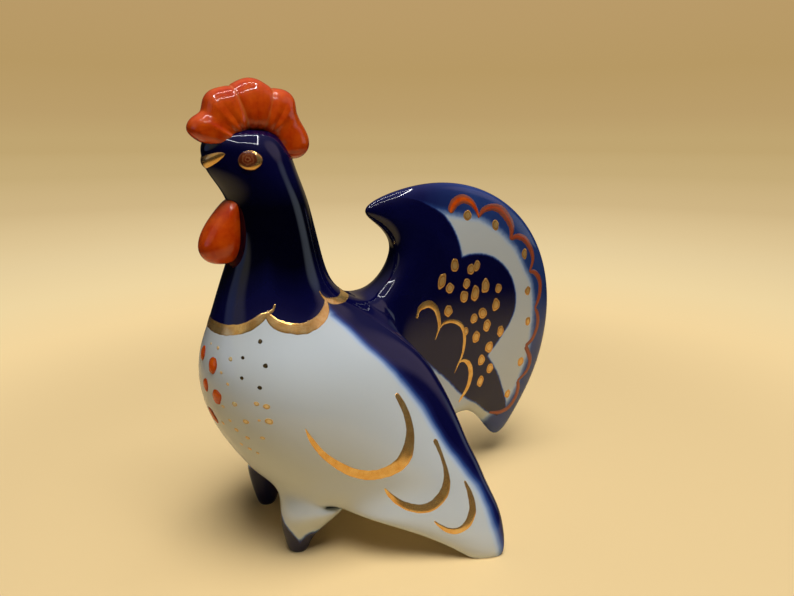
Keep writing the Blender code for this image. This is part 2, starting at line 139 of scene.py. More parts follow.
# The round rim as (degrees, radius)
TAIL_ROUND = (
    (-50, 54.5), (-28, 52.2), (-2, 50.2), (24, 49.8), (50, 49.8), (76, 50.3), (103, 52.0),
)
TAIL_SHARES = (0.18, 0.40, 0.65, 0.87, 1.0)
TAIL_HALF_THICK = (7.0, 6.3, 5.4, 4.0, 2.3)

# The saddle between the neck and the tail is fuller than its slices: (ring, y, z)
SADDLE_FILL = ((8, 32.5, 74.0), (9, 27.5, 71.7))

# The comb fans out round a point of the head. Each lobe has its two edges in degrees,
# its reach at its middle, and the reach at the notch where it starts.
COMB_CENTRE = (-2.0, 116.0)
COMB_ROOT_RADIUS = 5.0
COMB_HALF_THICK = 5.8
COMB_GROOVE = 1.4
CombLobe = namedtuple("CombLobe", "start end reach notch")
COMB = (
    CombLobe(171, 141, 19.1, 13.2),
    CombLobe(141, 108, 19.7, 17.0),
    CombLobe(108, 72, 20.1, 18.5),
    CombLobe(72, 42, 19.9, 18.2),
    CombLobe(42, -10, 16.9, 16.7),
)
COMB_END_REACH = 12.8
COMB_LOBE_SHARES = (0.25, 0.5, 0.75)
COMB_LOBE_DROP = 0.6  # from a lobe's middle to its shares beside it
COMB_SECTION_DEG = (-90, -62, -32, 0, 32, 62, 90)
COMB_CREST_POWER = 0.6
COMB_SIDE_POWER = 0.7

WattleSlice = namedtuple("WattleSlice", "z y half_y half_x")
WATTLE = (
    WattleSlice(104.6, -8.2, 1.9, 4.2),
    WattleSlice(101.6, -9.8, 3.4, 5.3),
    WattleSlice(98.0, -11.4, 5.0, 6.1),
    WattleSlice(94.2, -12.5, 6.2, 6.7),
    WattleSlice(90.6, -13.0, 6.4, 6.5),
    WattleSlice(87.8, -12.9, 4.9, 4.9),
    WattleSlice(86.6, -12.9, 2.0, 2.0),
)
WATTLE_CORNERS = 10

# The beak is a lens bent round the head's front, with its corners raised
BEAK_Z = 114.0 * MM
BEAK_HALF_WIDTH = 6.3 * MM
BEAK_RISE = 2.3 * MM
BEAK_RISE_POWER = 1.6
BEAK_HALF_HEIGHT = 2.3 * MM
BEAK_CORNER_SHARE = 0.15  # of its height, left at its corners
BEAK_BLUNT = 3.0  # the power of its outline: 2 is an oval
BEAK_PROUD = 1.1 * MM
BEAK_DEPTH = 4.0 * MM
BEAK_SHARES = (-1.0, -0.8, -0.45, 0.0, 0.45, 0.8, 1.0)
BEAK_CORNERS = 8

# The vent under the belly, and how far each wall behind it rises and spreads
VENT_RADIUS = 3.5
VENT_Y = 13.0
VENT_WALLS = ((3.5, 0.0), (0.0, 4.0), (6.0, 0.0))
GROUND_CLEARANCE = 5.0  # the skin's lowest faces, which stand on the table, lie below this
FACING_DOWN = -0.5  # the normal's z, at the most

# Seams between the castings, as in the frame
NECK_SEAM_Z = 71.0
FOOT_SEAM_Z = 10.5
FOOT_SEAM_MARGIN = 1.0
TAIL_SEAM_Y = 35.0
TAIL_SEAM_HALF = 9.5
TAIL_TIP_Y = 22.0
SADDLE_Z = 78.0
SADDLE_SLOPE = 10.0
# How far from a seam faces are cut along it, and where it starts and ends
SEAM_REACH = 1.5
SADDLE_SEAM_REACH = 2.5
SEAM_OVERLAP = 1.0
TAIL_SEAM_ENDS = 12.0
TAIL_SEAM_START = 33.0
WING_SEAM_START = 9.0
WING_SEAM_NORMAL = Vector((0.85, 0.30, -0.43)).normalized()
WING_SEAM_DISTANCE = 16.5

# Brushwork. On the wings and tail its points are (y, z) in millimetres. Round the breast and
# collar they are (degrees from the front, z), about an axis at ROUND_Y.
ROUND_Y = 4.0
ROUND_RADIUS = 17.0

# The collar's gold band hangs in four lobes. Each (degrees, z) is on its centre line.
COLLAR_FRONT = (
    (0, 70.1, 1.38), (9, 70.0, 1.42), (21, 69.95, 1.38), (30, 70.35, 1.29), (38, 71.0, 1.25),
    (45, 72.2, 1.2), (51, 73.6, 1.03), (56, 74.7, 0.6),
)
COLLAR_SIDE = (
    (62.5, 76.8, 0.26), (61.0, 75.4, 0.34), (56.5, 74.4, 0.6), (60, 72.8, 1.03), (67.5, 71.3, 1.25),
    (79, 70.3, 1.29), (88, 69.9, 1.33), (98, 70.3, 1.29), (109, 71.3, 1.2), (118, 72.9, 1.12),
    (123, 74.6, 0.77), (125, 76.2, 0.26),
)
COLLAR_BACK = (
    (120, 78.4, 0.2), (121.5, 76.9, 0.4), (125, 75.7, 0.7), (130, 75.0, 0.85), (137, 74.6, 0.9),
    (144, 74.5, 0.9), (152, 74.8, 0.9), (163, 75.4, 0.9), (180, 75.8, 0.9),
)

# The cobalt's lower edge round the neck
NECK_EDGE = (
    (0, 70.6), (21, 70.4), (38, 71.8), (55, 74.8), (64, 72.4), (88, 70.6), (109, 71.8),
    (124, 75.2), (134, 74.2), (150, 73.8), (180, 74.4),
)
NECK_EDGE_BACK_Y = 27.0
CROWN_Z = 117.0  # the neck's cobalt is darkened less towards here, as painted sheen on the crown

# Each wing crescent: (y, z, half width)
WING_CRESCENTS = (
    (
        (-1.0, 45.3, 0.1), (0.5, 41.6, 0.6), (3.3, 37.0, 0.8), (6.9, 33.1, 1.05), (11.0, 29.8, 1.3),
        (14.6, 28.2, 1.5), (17.7, 27.8, 1.55), (21.3, 28.5, 1.65), (24.7, 30.3, 1.8),
        (26.8, 32.9, 1.75), (28.2, 36.4, 1.4), (28.8, 39.5, 1.15), (28.6, 43.2, 1.0),
        (27.8, 46.3, 0.9), (26.4, 49.6, 0.7),
    ),
    (
        (20.2, 23.2, 0.2), (21.4, 21.1, 0.6), (23.3, 19.0, 0.9), (25.7, 17.5, 1.1),
        (28.7, 16.7, 1.2), (31.9, 17.2, 1.25), (34.6, 19.0, 1.3), (36.5, 21.5, 1.2),
        (37.3, 24.2, 0.9), (37.4, 27.1, 0.62), (37.1, 30.0, 0.52), (36.5, 32.9, 0.6),
        (35.8, 35.4, 0.7),
    ),
    (
        (31.9, 13.1, 0.2), (33.4, 11.5, 0.5), (35.2, 10.2, 0.75), (37.1, 9.7, 0.85),
        (39.3, 10.2, 0.9), (41.2, 11.6, 1.0), (42.6, 13.6, 1.05), (43.3, 15.6, 1.0),
        (43.4, 18.0, 0.85), (43.1, 20.4, 0.65), (42.4, 23.0, 0.3),
    ),
)

# The tail's three gold scallops
TAIL_SCALLOPS = (
    (
        (46.6, 63.4, 0.35), (47.3, 65.8, 0.6), (48.9, 67.1, 1.1), (51.7, 67.4, 1.2),
        (54.3, 65.4, 0.95), (55.6, 61.8, 0.75), (55.7, 58.8, 0.5), (54.9, 56.6, 0.35),
        (54.1, 54.7, 0.15),
    ),
    (
        (56.0, 58.5, 0.3), (57.4, 59.8, 0.5), (59.9, 60.2, 0.62), (62.8, 59.5, 0.7),
        (65.3, 57.8, 0.75), (66.6, 55.1, 0.65), (66.9, 52.0, 0.6), (66.4, 48.3, 0.5),
        (65.3, 45.4, 0.4), (63.7, 42.6, 0.25), (62.7, 40.8, 0.12),
    ),
    (
        (63.6, 42.6, 0.2), (64.8, 44.4, 0.4), (67.1, 44.6, 0.62), (69.3, 42.7, 0.9),
        (70.3, 39.5, 0.95), (69.9, 36.0, 0.85), (68.6, 33.0, 0.7), (66.7, 30.8, 0.5),
        (65.3, 28.9, 0.25),
    ),
)

# The tail's orange line, one run for each scallop of it
TAIL_ORANGE = (
    (
        (61.0, 96.3, 1.0), (61.9, 98.2, 1.4), (63.8, 99.9, 1.5), (66.7, 100.6, 1.43),
        (69.7, 99.4, 1.17), (71.6, 97.1, 0.78), (72.9, 93.9, 0.33),
    ),
    (
        (72.9, 94.4, 0.47), (74.9, 96.4, 0.94), (78.9, 97.2, 1.09), (82.8, 96.1, 1.48),
        (85.9, 93.3, 1.56), (87.9, 89.6, 1.25), (87.3, 85.2, 0.54),
    ),
    (
        (87.4, 85.5, 0.62), (90.3, 86.2, 0.94), (93.9, 85.2, 1.18), (96.6, 82.8, 1.18),
        (98.6, 79.5, 1.02), (99.0, 76.3, 0.78), (97.4, 72.4, 0.47),
    ),
    (
        (97.5, 72.6, 0.54), (100.3, 72.0, 0.86), (103.0, 69.3, 1.02), (104.0, 65.9, 1.02),
        (103.6, 62.0, 0.94), (101.5, 57.9, 0.54),
    ),
    (
        (101.6, 58.1, 0.54), (103.3, 55.4, 0.86), (104.0, 51.9, 0.94), (103.2, 48.6, 0.94),
        (101.2, 45.5, 0.86), (97.7, 43.6, 0.78),
    ),
    (
        (97.8, 43.7, 0.94), (99.8, 40.6, 1.02), (101.4, 37.0, 1.02), (100.4, 32.9, 0.86),
        (95.2, 29.6, 0.54),
    ),
    (
        (95.3, 29.9, 0.62), (96.2, 26.5, 1.02), (95.3, 22.5, 1.02), (92.2, 19.3, 0.94),
        (87.2, 18.5, 0.78), (81.9, 19.8, 0.47),
    ),
)

# Gold dots as (y, z, reach along y, reach along z, tilt in degrees)
RIM_DOTS = (
    (68.0, 95.1, 1.6, 1.55, 0), (80.2, 91.0, 1.5, 1.65, 0), (94.5, 79.5, 1.3, 1.7, 0),
    (96.9, 65.5, 1.4, 1.55, 0), (98.0, 53.5, 1.35, 1.6, 0), (96.0, 37.6, 1.5, 1.7, 0),
    (90.4, 25.5, 1.4, 1.6, 0),
)
FIELD_DOTS = (
    (62.2, 79.1, 1.6, 2.1, 0), (69.2, 77.0, 1.5, 1.7, -20), (71.7, 77.9, 1.3, 1.8, -30),
    (56.9, 74.4, 1.5, 2.5, -20), (60.1, 71.6, 1.6, 1.7, 0), (67.3, 72.2, 1.45, 1.6, 0),
    (66.3, 67.8, 1.65, 2.0, 0), (71.1, 68.3, 1.7, 2.6, -5), (75.7, 70.4, 1.75, 2.45, 0),
    (81.9, 68.6, 1.4, 1.6, 0), (59.6, 63.9, 1.6, 1.9, 0), (80.9, 62.7, 1.65, 2.2, -8),
    (74.9, 60.6, 1.7, 2.0, 15), (70.9, 59.3, 1.5, 1.7, 0), (76.9, 55.7, 1.6, 2.2, -8),
    (83.7, 52.3, 1.5, 2.0, -8), (72.1, 52.3, 1.6, 2.1, -5), (78.6, 47.3, 1.75, 2.1, -8),
    (75.1, 43.0, 1.65, 1.9, 0), (79.5, 38.8, 1.5, 1.8, -12), (75.2, 34.7, 1.45, 2.0, -12),
    (67.4, 55.3, 1.1, 1.3, 0),
)

# The breast's orange drops as (degrees, z, reach round, reach along z, tilt)
BREAST_DROPS = (
    (1, 62.0, 1.25, 2.0, 0), (17, 60.4, 1.25, 2.3, 0), (9, 54.0, 1.1, 1.9, 0),
    (22, 52.0, 1.3, 2.2, 0), (10, 44.4, 1.3, 2.4, 24), (-34, 57.0, 1.2, 2.1, 0),
    (-38, 62.6, 1.25, 2.3, 0), (-44, 51.4, 1.3, 2.2, 0), (-31, 44.9, 1.2, 2.2, -20),
)
BREAST_SPECKS = (
    (52, 67.9, 0.5), (41, 63.9, 0.38), (57, 62.2, 0.52), (42, 58.9, 0.38), (54, 56.8, 0.46),
)
BREAST_GOLD_SPECKS = (
    (10, 65.6, 0.3), (19, 65.2, 0.4), (32, 63.2, 0.5), (26, 59.3, 0.35), (32, 56.7, 0.36),
    (52, 52.5, 0.55), (58, 51.9, 0.65), (37, 51.5, 0.6), (59, 47.7, 0.8), (44, 46.9, 0.65),
    (53, 47.8, 0.32), (31, 45.9, 0.45), (22, 43.8, 0.5), (35, 43.3, 0.55), (54, 42.4, 0.5),
    (43, 41.5, 0.5), (35, 38.2, 0.45), (42, 37.4, 0.5), (48, 36.6, 0.4), (27, 49.8, 0.45),
)

# Cobalt fields. The tail's dark field and its rim are outlines of (y, z).
TAIL_FIELD = (
    (
        (26.0, 96.0), (31.0, 99.5), (36.2, 101.6), (41.3, 102.6), (48.3, 101.6), (53.1, 99.4),
        (58.0, 96.2), (61.1, 92.3), (63.0, 88.8), (64.3, 85.4), (65.2, 81.3),
    ),
    (
        (65.2, 81.3), (67.9, 81.9), (73.1, 81.7), (78.5, 80.2), (83.4, 77.0), (87.3, 72.8),
        (89.6, 68.2), (90.6, 63.6), (90.2, 59.2), (88.0, 54.8), (84.8, 51.1), (81.7, 47.8),
        (79.6, 45.9), (77.7, 44.1),
    ),
    (
        (77.7, 44.1), (80.8, 40.0), (84.0, 35.1), (86.6, 29.6), (89.2, 24.0), (90.6, 19.0),
    ),
    (
        (86.0, 17.0), (80.1, 21.2), (75.0, 25.6), (69.3, 29.5), (65.0, 33.3), (60.1, 38.7),
        (55.2, 43.3), (48.0, 50.0), (40.0, 56.0), (24.0, 60.0),
    ),
)
TAIL_RIM = (
    (
        (22.0, 93.5), (31.0, 96.5), (36.2, 98.0), (41.3, 99.4), (48.3, 99.4), (53.1, 98.3),
        (56.9, 97.3), (60.7, 96.4), (65.4, 95.3), (71.1, 94.4), (74.7, 93.3), (78.5, 91.0),
        (82.4, 88.9), (86.5, 85.3), (89.9, 82.3), (92.6, 78.3), (95.5, 73.6), (98.0, 70.1),
        (99.5, 66.0), (100.6, 60.0), (100.8, 53.9), (100.6, 47.1), (99.8, 40.4), (98.4, 35.6),
        (96.5, 31.1), (94.9, 27.1), (92.8, 23.7), (89.9, 20.8), (85.0, 19.3), (81.9, 17.5),
        (80.5, 12.0), (82.0, 4.0),
    ),
    (
        (100.0, -10.0), (130.0, -10.0), (130.0, 130.0), (10.0, 130.0),
    ),
)
TAIL_PAINT_HALF = 13.0

# The sprayed cobalt of the back and wing ridges. Its front edge is (z, y, x), and the band's
# reach is (z, millimetres from the ridge).
SADDLE_EDGE = (
    (7.7, 50.2, 48.6), (14.6, 48.9, 45.2), (20.6, 46.9, 42.0), (26.6, 44.3, 39.2),
    (32.4, 41.4, 36.3), (38.0, 38.4, 33.4), (44.5, 35.4, 30.4), (49.3, 32.4, 28.0),
    (53.6, 29.2, 25.8), (58.9, 25.4, 22.7), (63.6, 21.2, 19.6), (68.0, 17.9, 16.2),
    (70.6, 15.7, 14.4), (73.3, 13.2, 13.3),
)
RIDGE_BAND = (
    (-2.0, -0.5), (3.0, 1.2), (7.7, 2.6), (14.6, 4.4), (20.6, 6.2), (26.6, 8.2), (32.4, 9.8),
    (38.0, 11.2), (44.5, 12.1), (49.3, 13.0), (53.6, 13.6), (58.9, 13.1), (63.6, 11.9), (68.0, 9.2),
    (72.0, 7.5),
)
BACK_FIELD = (
    (-60.0, 53.0), (38.0, 53.0), (48.0, 50.0), (55.0, 43.5), (65.0, 33.3), (80.1, 21.2),
    (95.0, 5.0), (95.0, 86.0), (-60.0, 86.0),
)
BACK_FIELD_END_Y = 52.0
BACK_FIELD_SPREAD = 0.5  # how much of a step outwards counts as one forwards
# Where the wash along the tail's rim starts to thin out, and where it ends, in the frame
WASH_THINS = (-10 * MM, 26 * MM)

# The cobalt of the feet reaches up to (degrees round the leg, z). Its edge is softer than the
# edges of the neck and tail.
LEG_AXIS = (14.4, 1.0)
FOOT_EDGE = (
    (-180, 8.6), (-120, 10.6), (-90, 12.0), (-45, 13.6), (0, 14.4), (22, 12.2), (34, 10.0),
    (45, 7.8), (59, 4.8), (70, 5.2), (89, 7.0), (105, 7.5), (117, 6.9), (135, 6.2), (180, 6.5),
)
FOOT_EDGE_SHARPNESS = 0.4
LEG_REACH = 13.0

# Eyes: a gilt almond with a round iris, as (y, z)
EYE_CENTRE = (-5.8, 114.4)
EYE_REACH = (2.85, 2.5)
EYE_TILT = 8
EYE_WAVER = 0.05
EYE_POINT = 0.1  # how much further its back corner reaches
IRIS_CENTRE = (-6.3, 114.7)
IRIS_REACH = (2.1, 1.95)
IRIS_RISE = 0.4 * MM
IRIS_LIFT = 0.8  # share of the gilt's rise

# How paint is laid, in millimetres unless it says otherwise
CURVE_STEPS = 8
STROKE_STEP = 0.28
STROKE_LEAST_STEPS = 8
STROKE_ACROSS = 8  # steps over its width
STROKE_LEAST_HALF = 0.12
STROKE_LEAST_END = 0.1
STROKE_DOME_POWER = 4  # how flat its top is
STROKE_MERGE = 0.004 * MM
STROKE_SPREAD = 1.15  # a stroke's edge lies under the glaze, so it is laid a little wider
STROKE_WAVER = 0.09  # share of a stroke's width
STROKE_WAVES = 0.7  # per millimetre
COLLAR_OVERLAP = 1.15  # rise of its side lobes, whose ends lie on the others, against theirs
LINE_THIN = 0.4
DAB_WAVER = 0.2  # share of a dab's reach
DAB_WAVES = 1.3  # over a dab's reach
DAB_POINT_POWER = 6  # how narrow a dab's point is
DOT_SPREAD = 1.08
DOT_RISE = 1.4  # against a stroke's
SPECK_LENGTH = 1.15  # against its width
SPECK_TILT = 20
PAINT_TUCK = 0.03 * MM  # how far paint's edge lies under the glaze
COMB_GROOVE_HALF = 0.6
COMB_GROOVE_DEPTH = 0.25 * MM
COMB_LINES = {108: 1.0, 72: 0.9}  # how clear the line in a groove is, by the groove's degrees
COMB_FAINT_LINE = 0.2
COMB_FILL = 1.0  # glaze pools in the grooves beside the lines
COMB_FILL_HALF = 2.2

# Castings of the skin, those that are mostly white, the bird's sides, and the material of faces
# that are left unglazed
CASTINGS = (
    "body", "neck_and_head", "tail_fan", "left_wing", "right_wing", "left_foot", "right_foot",
)
WHITE_CASTINGS = ("body", "left_wing", "right_wing")
SIDES = (("left", 1), ("right", -1))
BARE = 1

# Camera and lamps, in metres and watts
CAMERA_PLACE = (0.162905, -0.099114, 0.119983)
CAMERA_ANGLES = (59.0, 15.0)  # turn from -Y towards +X, and height, in degrees
LENS_MM = 27.07
SENSOR_MM = 36.0
CARD_RADIUS = 6.0
CARD_FADE = (0.13, 0.28)  # where the card that the lamps light gives way to its far part
# The far card's colours by distance in metres, as the camera sees it. This is painted light:
# brightest where it takes over from the lit card and darker further out, as the lamps' light falls
# off.
CARD_FAR = (
    (0.26, "#F4D69E"), (0.36, "#EFD6A2"), (0.5, "#E6CE9D"), (0.66, "#DEC594"), (1.0, "#D0B685"),
    (2.0, "#C6AC79"), (5.9, "#C0A571"),
)
# The backdrop's colours by height, as the sine of the angle above the card's far edge. It is darker
# above that edge, as painted shade.
BACKDROP = ((0.0, "#C0A571"), (0.034, "#BB9E6B"), (0.1, "#B79964"), (0.2, "#BA9B69"))
# Painted dark reflection: to the glaze, the card turns into the dim room beyond CARD_MIRRORED, and
# near the bird it is darkened by a share of that room
CARD_MIRRORED = (0.10, 0.36)  # where the card gives way to the dim room, for all but the eye
CARD_DIMMED = 0.22  # the share of the dim room in the near card, as the glaze mirrors it
# Painted reflections: pale glows in the world that only glossy rays see and that light nothing,
# standing in for windows and the backdrop. Each has its heading, the cosines of the angles from it
# where it is clear and where it ends, and its colour.
MIRRORED = (
    ((-0.857, 0.515, 0.0), 0.99, 0.7, "#8A7A5A"),
    ((0.05, -0.92, 0.38), 0.97, 0.9, "#A4A094"),
    ((0.35, 0.78, 0.52), 0.985, 0.94, "#CCB8C4"),
    ((0.39, 0.92, 0.07), 0.997, 0.965, "#C8D4E4"),
    ((-0.12, -0.98, 0.14), 0.995, 0.95, "#8694C4"),
)
# The dim room as the glaze mirrors it, by height: a painted reflection that only glossy rays see
ROOM = ((0.0, "#121218"), (0.25, "#24242A"), (0.45, "#48423A"), (0.85, "#8C86A0"))
FILL_COLOUR = (0.85, 0.93, 1.0, 1.0)
FILL_STRENGTH = 0.044
# Each lamp: name, place, place that it faces, size and power. The ceiling lights the bird. The
# glaze mirrors the four strips, which make a frame, and they light nothing.
CEILING = ("ceiling", (0.30, -0.02, 1.45), (0.0, -0.01, 0.03), (0.9, 0.9), 22.2)
STRIPS = (
    ("strip_left", (0.02, -0.10, 0.85), (0.02, -0.10, 0), (0.012, 0.74), 1.6),
    ("strip_right", (0.64, -0.10, 0.85), (0.64, -0.10, 0), (0.012, 0.74), 1.6),
    ("strip_near", (0.33, -0.47, 0.85), (0.33, -0.47, 0), (0.62, 0.012), 1.6),
    ("strip_far", (0.33, 0.27, 0.85), (0.33, 0.27, 0), (0.62, 0.012), 1.6),
)


def torso_outline(cut):
    """The left half of a torso slice, from the breast round to the tail's root."""
    side = Vector((cut.half_width, cut.widest_y))
    ridge = Vector((cut.ridge_x, cut.ridge_y))
    root = Vector((cut.root_half, cut.back))
    depth = cut.widest_y - cut.front
    turns = [math.radians((k + 0.5) * 360 / CORNERS_ROUND) for k in range(CORNERS_ROUND // 4)]
    points = [
        Vector((cut.half_width * math.sin(a), cut.widest_y - depth * math.cos(a))) for a in turns
    ]
    chord = ridge - side
    out = Vector((chord.y, -chord.x)).normalized() * cut.flank
    for share in FLANK_SHARES:
        points.append(side + chord * share + out * 4 * share * (1 - share))
    points += [ridge.lerp(root, share) for share in RUMP_SHARES]
    return points


def oval_outline(cut, corners):
    """The left half of an oval slice, narrower in front by its pinch."""
    middle = (cut.front + cut.back) / 2
    reach = (cut.back - cut.front) / 2
    points = []
    for k in range(corners // 2):
        angle = math.radians((k + 0.5) * 360 / corners)
        width = cut.half_width * (1 - cut.pinch * max(0.0, math.cos(angle)))
        points.append(Vector((width * math.sin(angle), middle - reach * math.cos(angle))))
    return points


def whole_ring(half, z):
    """Both halves of a slice, in metres, from the breast round by the bird's left."""
    left = [Vector((p.x, p.y, z)) * MM for p in half]
    right = [Vector((-p.x, p.y, z)) * MM for p in reversed(half)]
    return left + right


def grown_corners(ring, made, places):
    """The new corners that an extrusion gave a ring's corners, moved to their places."""
    fresh = {v for v in made if isinstance(v, bmesh.types.BMVert)}
    grown = []
    for corner, place in zip(ring, places):
        others = [e.other_vert(corner) for e in corner.link_edges]
        new = next(v for v in others if v in fresh)
        new.co = place
        grown.append(new)
    return grown


def extrude_ring(bm, ring, places):
    edges = [bm.edges.get(pair) for pair in zip(ring, ring[1:] + ring[:1])]
    made = bmesh.ops.extrude_edge_only(bm, edges=edges)["geom"]
    return grown_corners(ring, made, places)


def stack(bm, slices):
    """A tube through the slices, and the list of its rings of corners."""
    ring = bmesh.ops.create_circle(bm, segments=len(slices[0]))["verts"]
    for corner, place in zip(ring, slices[0]):
        corner.co = place
    rings = [list(ring)]
    for places in slices[1:]:
        rings.append(extrude_ring(bm, rings[-1], places))
    return rings


def close_ring(bm, ring):
    bmesh.ops.contextual_create(bm, geom=ring)


def closed_tube(slices):
    """A tube through the slices, with both ends closed."""
    bm = bmesh.new()
    rings = stack(bm, slices)
    close_ring(bm, rings[0])
    close_ring(bm, rings[-1])
    return bm


def draw_out(bm, corners, others, stations):
    """Draws the strip of faces between two runs of corners out through the stations."""
    pairs = list(zip(corners, others))
    faces = []
    for near, far in zip(pairs, pairs[1:]):
        shared = set.intersection(*(set(v.link_faces) for v in near + far))
        faces.append(shared.pop())
    ring = list(corners) + list(reversed(others))
    for places in stations:
        made = bmesh.ops.extrude_face_region(bm, geom=faces)["geom"]
        old = [f for f in faces if f.is_valid]
        bmesh.ops.delete(bm, geom=old, context="FACES")
        faces = [g for g in made if isinstance(g, bmesh.types.BMFace)]
        ring = grown_corners(ring, made, places)


def leg_ring(station, side):
    places = []
    for degrees in LEG_CORNERS_DEG:
        angle = math.radians(degrees)
        x = station.x + station.half_x * math.sin(angle)
        y = station.y - station.half_y * math.cos(angle)
        places.append(Vector((x * side, y, station.z)) * MM)
    return places


def wing_ring(station, side):
    front = Vector((station.front_x, station.front_y))
    chord = Vector((station.ridge_x, station.ridge_y)) - front
    out = Vector((chord.y, -chord.x)).normalized() * station.thick
    points = [front + chord * share + out * offset for share, offset in WING_RING]
    return [Vector((p.x * side, p.y, station.z)) * MM for p in points]


def tail_ring(number, roots):
    """One station of the tail: up its left rows and down its right rows.

    The rows in between follow both edges, as a patch between its four sides does.
    """
    share = TAIL_SHARES[number]
    centre = Vector(TAIL_CENTRE)
    rim = [Vector(TAIL_LOWER_EDGE[-1])]
    for degrees, radius in TAIL_ROUND:
        angle = math.radians(degrees)
        rim.append(centre + Vector((math.cos(angle), math.sin(angle))) * radius)
    rim.append(Vector(TAIL_UPPER_EDGE[-1]))
    lower = Vector(TAIL_LOWER_EDGE[number]) - roots[0].lerp(rim[0], share)
    upper = Vector(TAIL_UPPER_EDGE[number]) - roots[-1].lerp(rim[-1], share)
    rows = []
    for j, (root, end) in enumerate(zip(roots, rim)):
        up = j / (len(rim) - 1)
        rows.append(root.lerp(end, share) + lower * (1 - up) + upper * up)
    half = TAIL_HALF_THICK[number]
    left = [Vector((half, p.x, p.y)) * MM for p in rows]
    right = [Vector((-half, p.x, p.y)) * MM for p in reversed(rows)]
    return left + right


def skin_cage():
    """The bird's coarse closed skin, before smoothing."""
    bm = bmesh.new()
    slices = [whole_ring(torso_outline(s), s.z) for s in TORSO]
    slices += [whole_ring(oval_outline(s, CORNERS_ROUND), s.z) for s in NECK]
    rings = stack(bm, slices)
    close_ring(bm, rings[-1])
    for number, y, z in SADDLE_FILL:
        for corner in rings[number][CORNERS_ROUND // 2 - 1:CORNERS_ROUND // 2 + 1]:
            corner.co.yz = y * MM, z * MM
    middle = Vector((0.0, BELLY_CENTRE_Y * MM, BELLY_Z))
    inner = [middle.lerp(corner.co, BELLY_SHARE) for corner in rings[0]]
    for place in inner:
        place.z = BELLY_Z
    belly = extrude_ring(bm, rings[0], inner)
    close_ring(bm, belly)
    for side in (1, -1):
        numbers = [n if side > 0 else CORNERS_ROUND - 1 - n for n in range(CORNERS_ROUND // 2)]
        outer = [rings[0][n] for n in numbers]
        under = [belly[n] for n in numbers]
        for corner in outer[WEB_CORNERS] + under[WEB_CORNERS]:
            corner.co.z -= WEB_DROP
        legs = [leg_ring(station, side) for station in LEG]
        wings = [wing_ring(station, side) for station in WING]
        draw_out(bm, outer[LEG_COLUMNS], under[LEG_COLUMNS], legs)
        draw_out(bm, outer[WING_COLUMNS], under[WING_COLUMNS], wings)
    rows = rings[:TAIL_ROOT_SLICES]
    left = [ring[CORNERS_ROUND // 2 - 1] for ring in rows]
    right = [ring[CORNERS_ROUND // 2] for ring in rows]
    roots = [Vector((corner.co.y, corner.co.z)) / MM for corner in left]
    draw_out(bm, left, right, [tail_ring(n, roots) for n in range(len(TAIL_SHARES))])
    return bm


def smoothed(bm, levels):
    """A cage after Catmull-Clark smoothing, with its faces pointing out."""
    mesh = bpy.data.meshes.new("cage")
    bm.to_mesh(mesh)
    bm.free()
    cage = bpy.data.objects.new("cage", mesh)
    bpy.context.scene.collection.objects.link(cage)
    smooth = cage.modifiers.new("Smooth", "SUBSURF")
    smooth.levels = smooth.render_levels = levels
    out = bmesh.new()
    out.from_object(cage, bpy.context.evaluated_depsgraph_get())
    bpy.data.objects.remove(cage)
    bpy.data.meshes.remove(mesh)
    bmesh.ops.recalc_face_normals(out, faces=out.faces)
    return out


def cut_along(bm, near, place, normal):
    """Cuts the faces near a seam along its plane. Places are in millimetres."""
    faces = [f for f in bm.faces if near(f.calc_center_median() / MM)]
    edges = list({e for f in faces for e in f.edges})
    corners = list({v for f in faces for v in f.verts})
    bmesh.ops.bisect_plane(
        bm, geom=corners + edges + faces, dist=CUT_MERGE, plane_co=Vector(place) * MM,
        plane_no=Vector(normal),
    )


def tail_start(z):
    """How far forward the tail's casting reaches at a height."""
    share = min(max((z - SADDLE_Z) / SADDLE_SLOPE, 0.0), 1.0)
    return TAIL_SEAM_Y + (TAIL_TIP_Y - TAIL_SEAM_Y) * share


def beyond_wing_seam(place):
    mirrored = Vector((abs(place.x), place.y, place.z))
    return mirrored.dot(WING_SEAM_NORMAL) - WING_SEAM_DISTANCE


def over_foot(place):
    top = LEG[0]
    inside = abs(abs(place.x) - top.x) < top.half_x + FOOT_SEAM_MARGIN
    return inside and abs(place.y - top.y) < top.half_y + FOOT_SEAM_MARGIN


def casting_of(place):
    """The casting that owns a point of the skin, in millimetres."""
    side = "left" if place.x > 0 else "right"
    if abs(place.x) < TAIL_SEAM_HALF and place.y > tail_start(place.z):
        return "tail_fan"
    if place.z > NECK_SEAM_Z:
        return "neck_and_head"
    if place.z < FOOT_SEAM_Z and over_foot(place):
        return side + "_foot"
    if beyond_wing_seam(place) > 0:
        return side + "_wing"
    return "body"


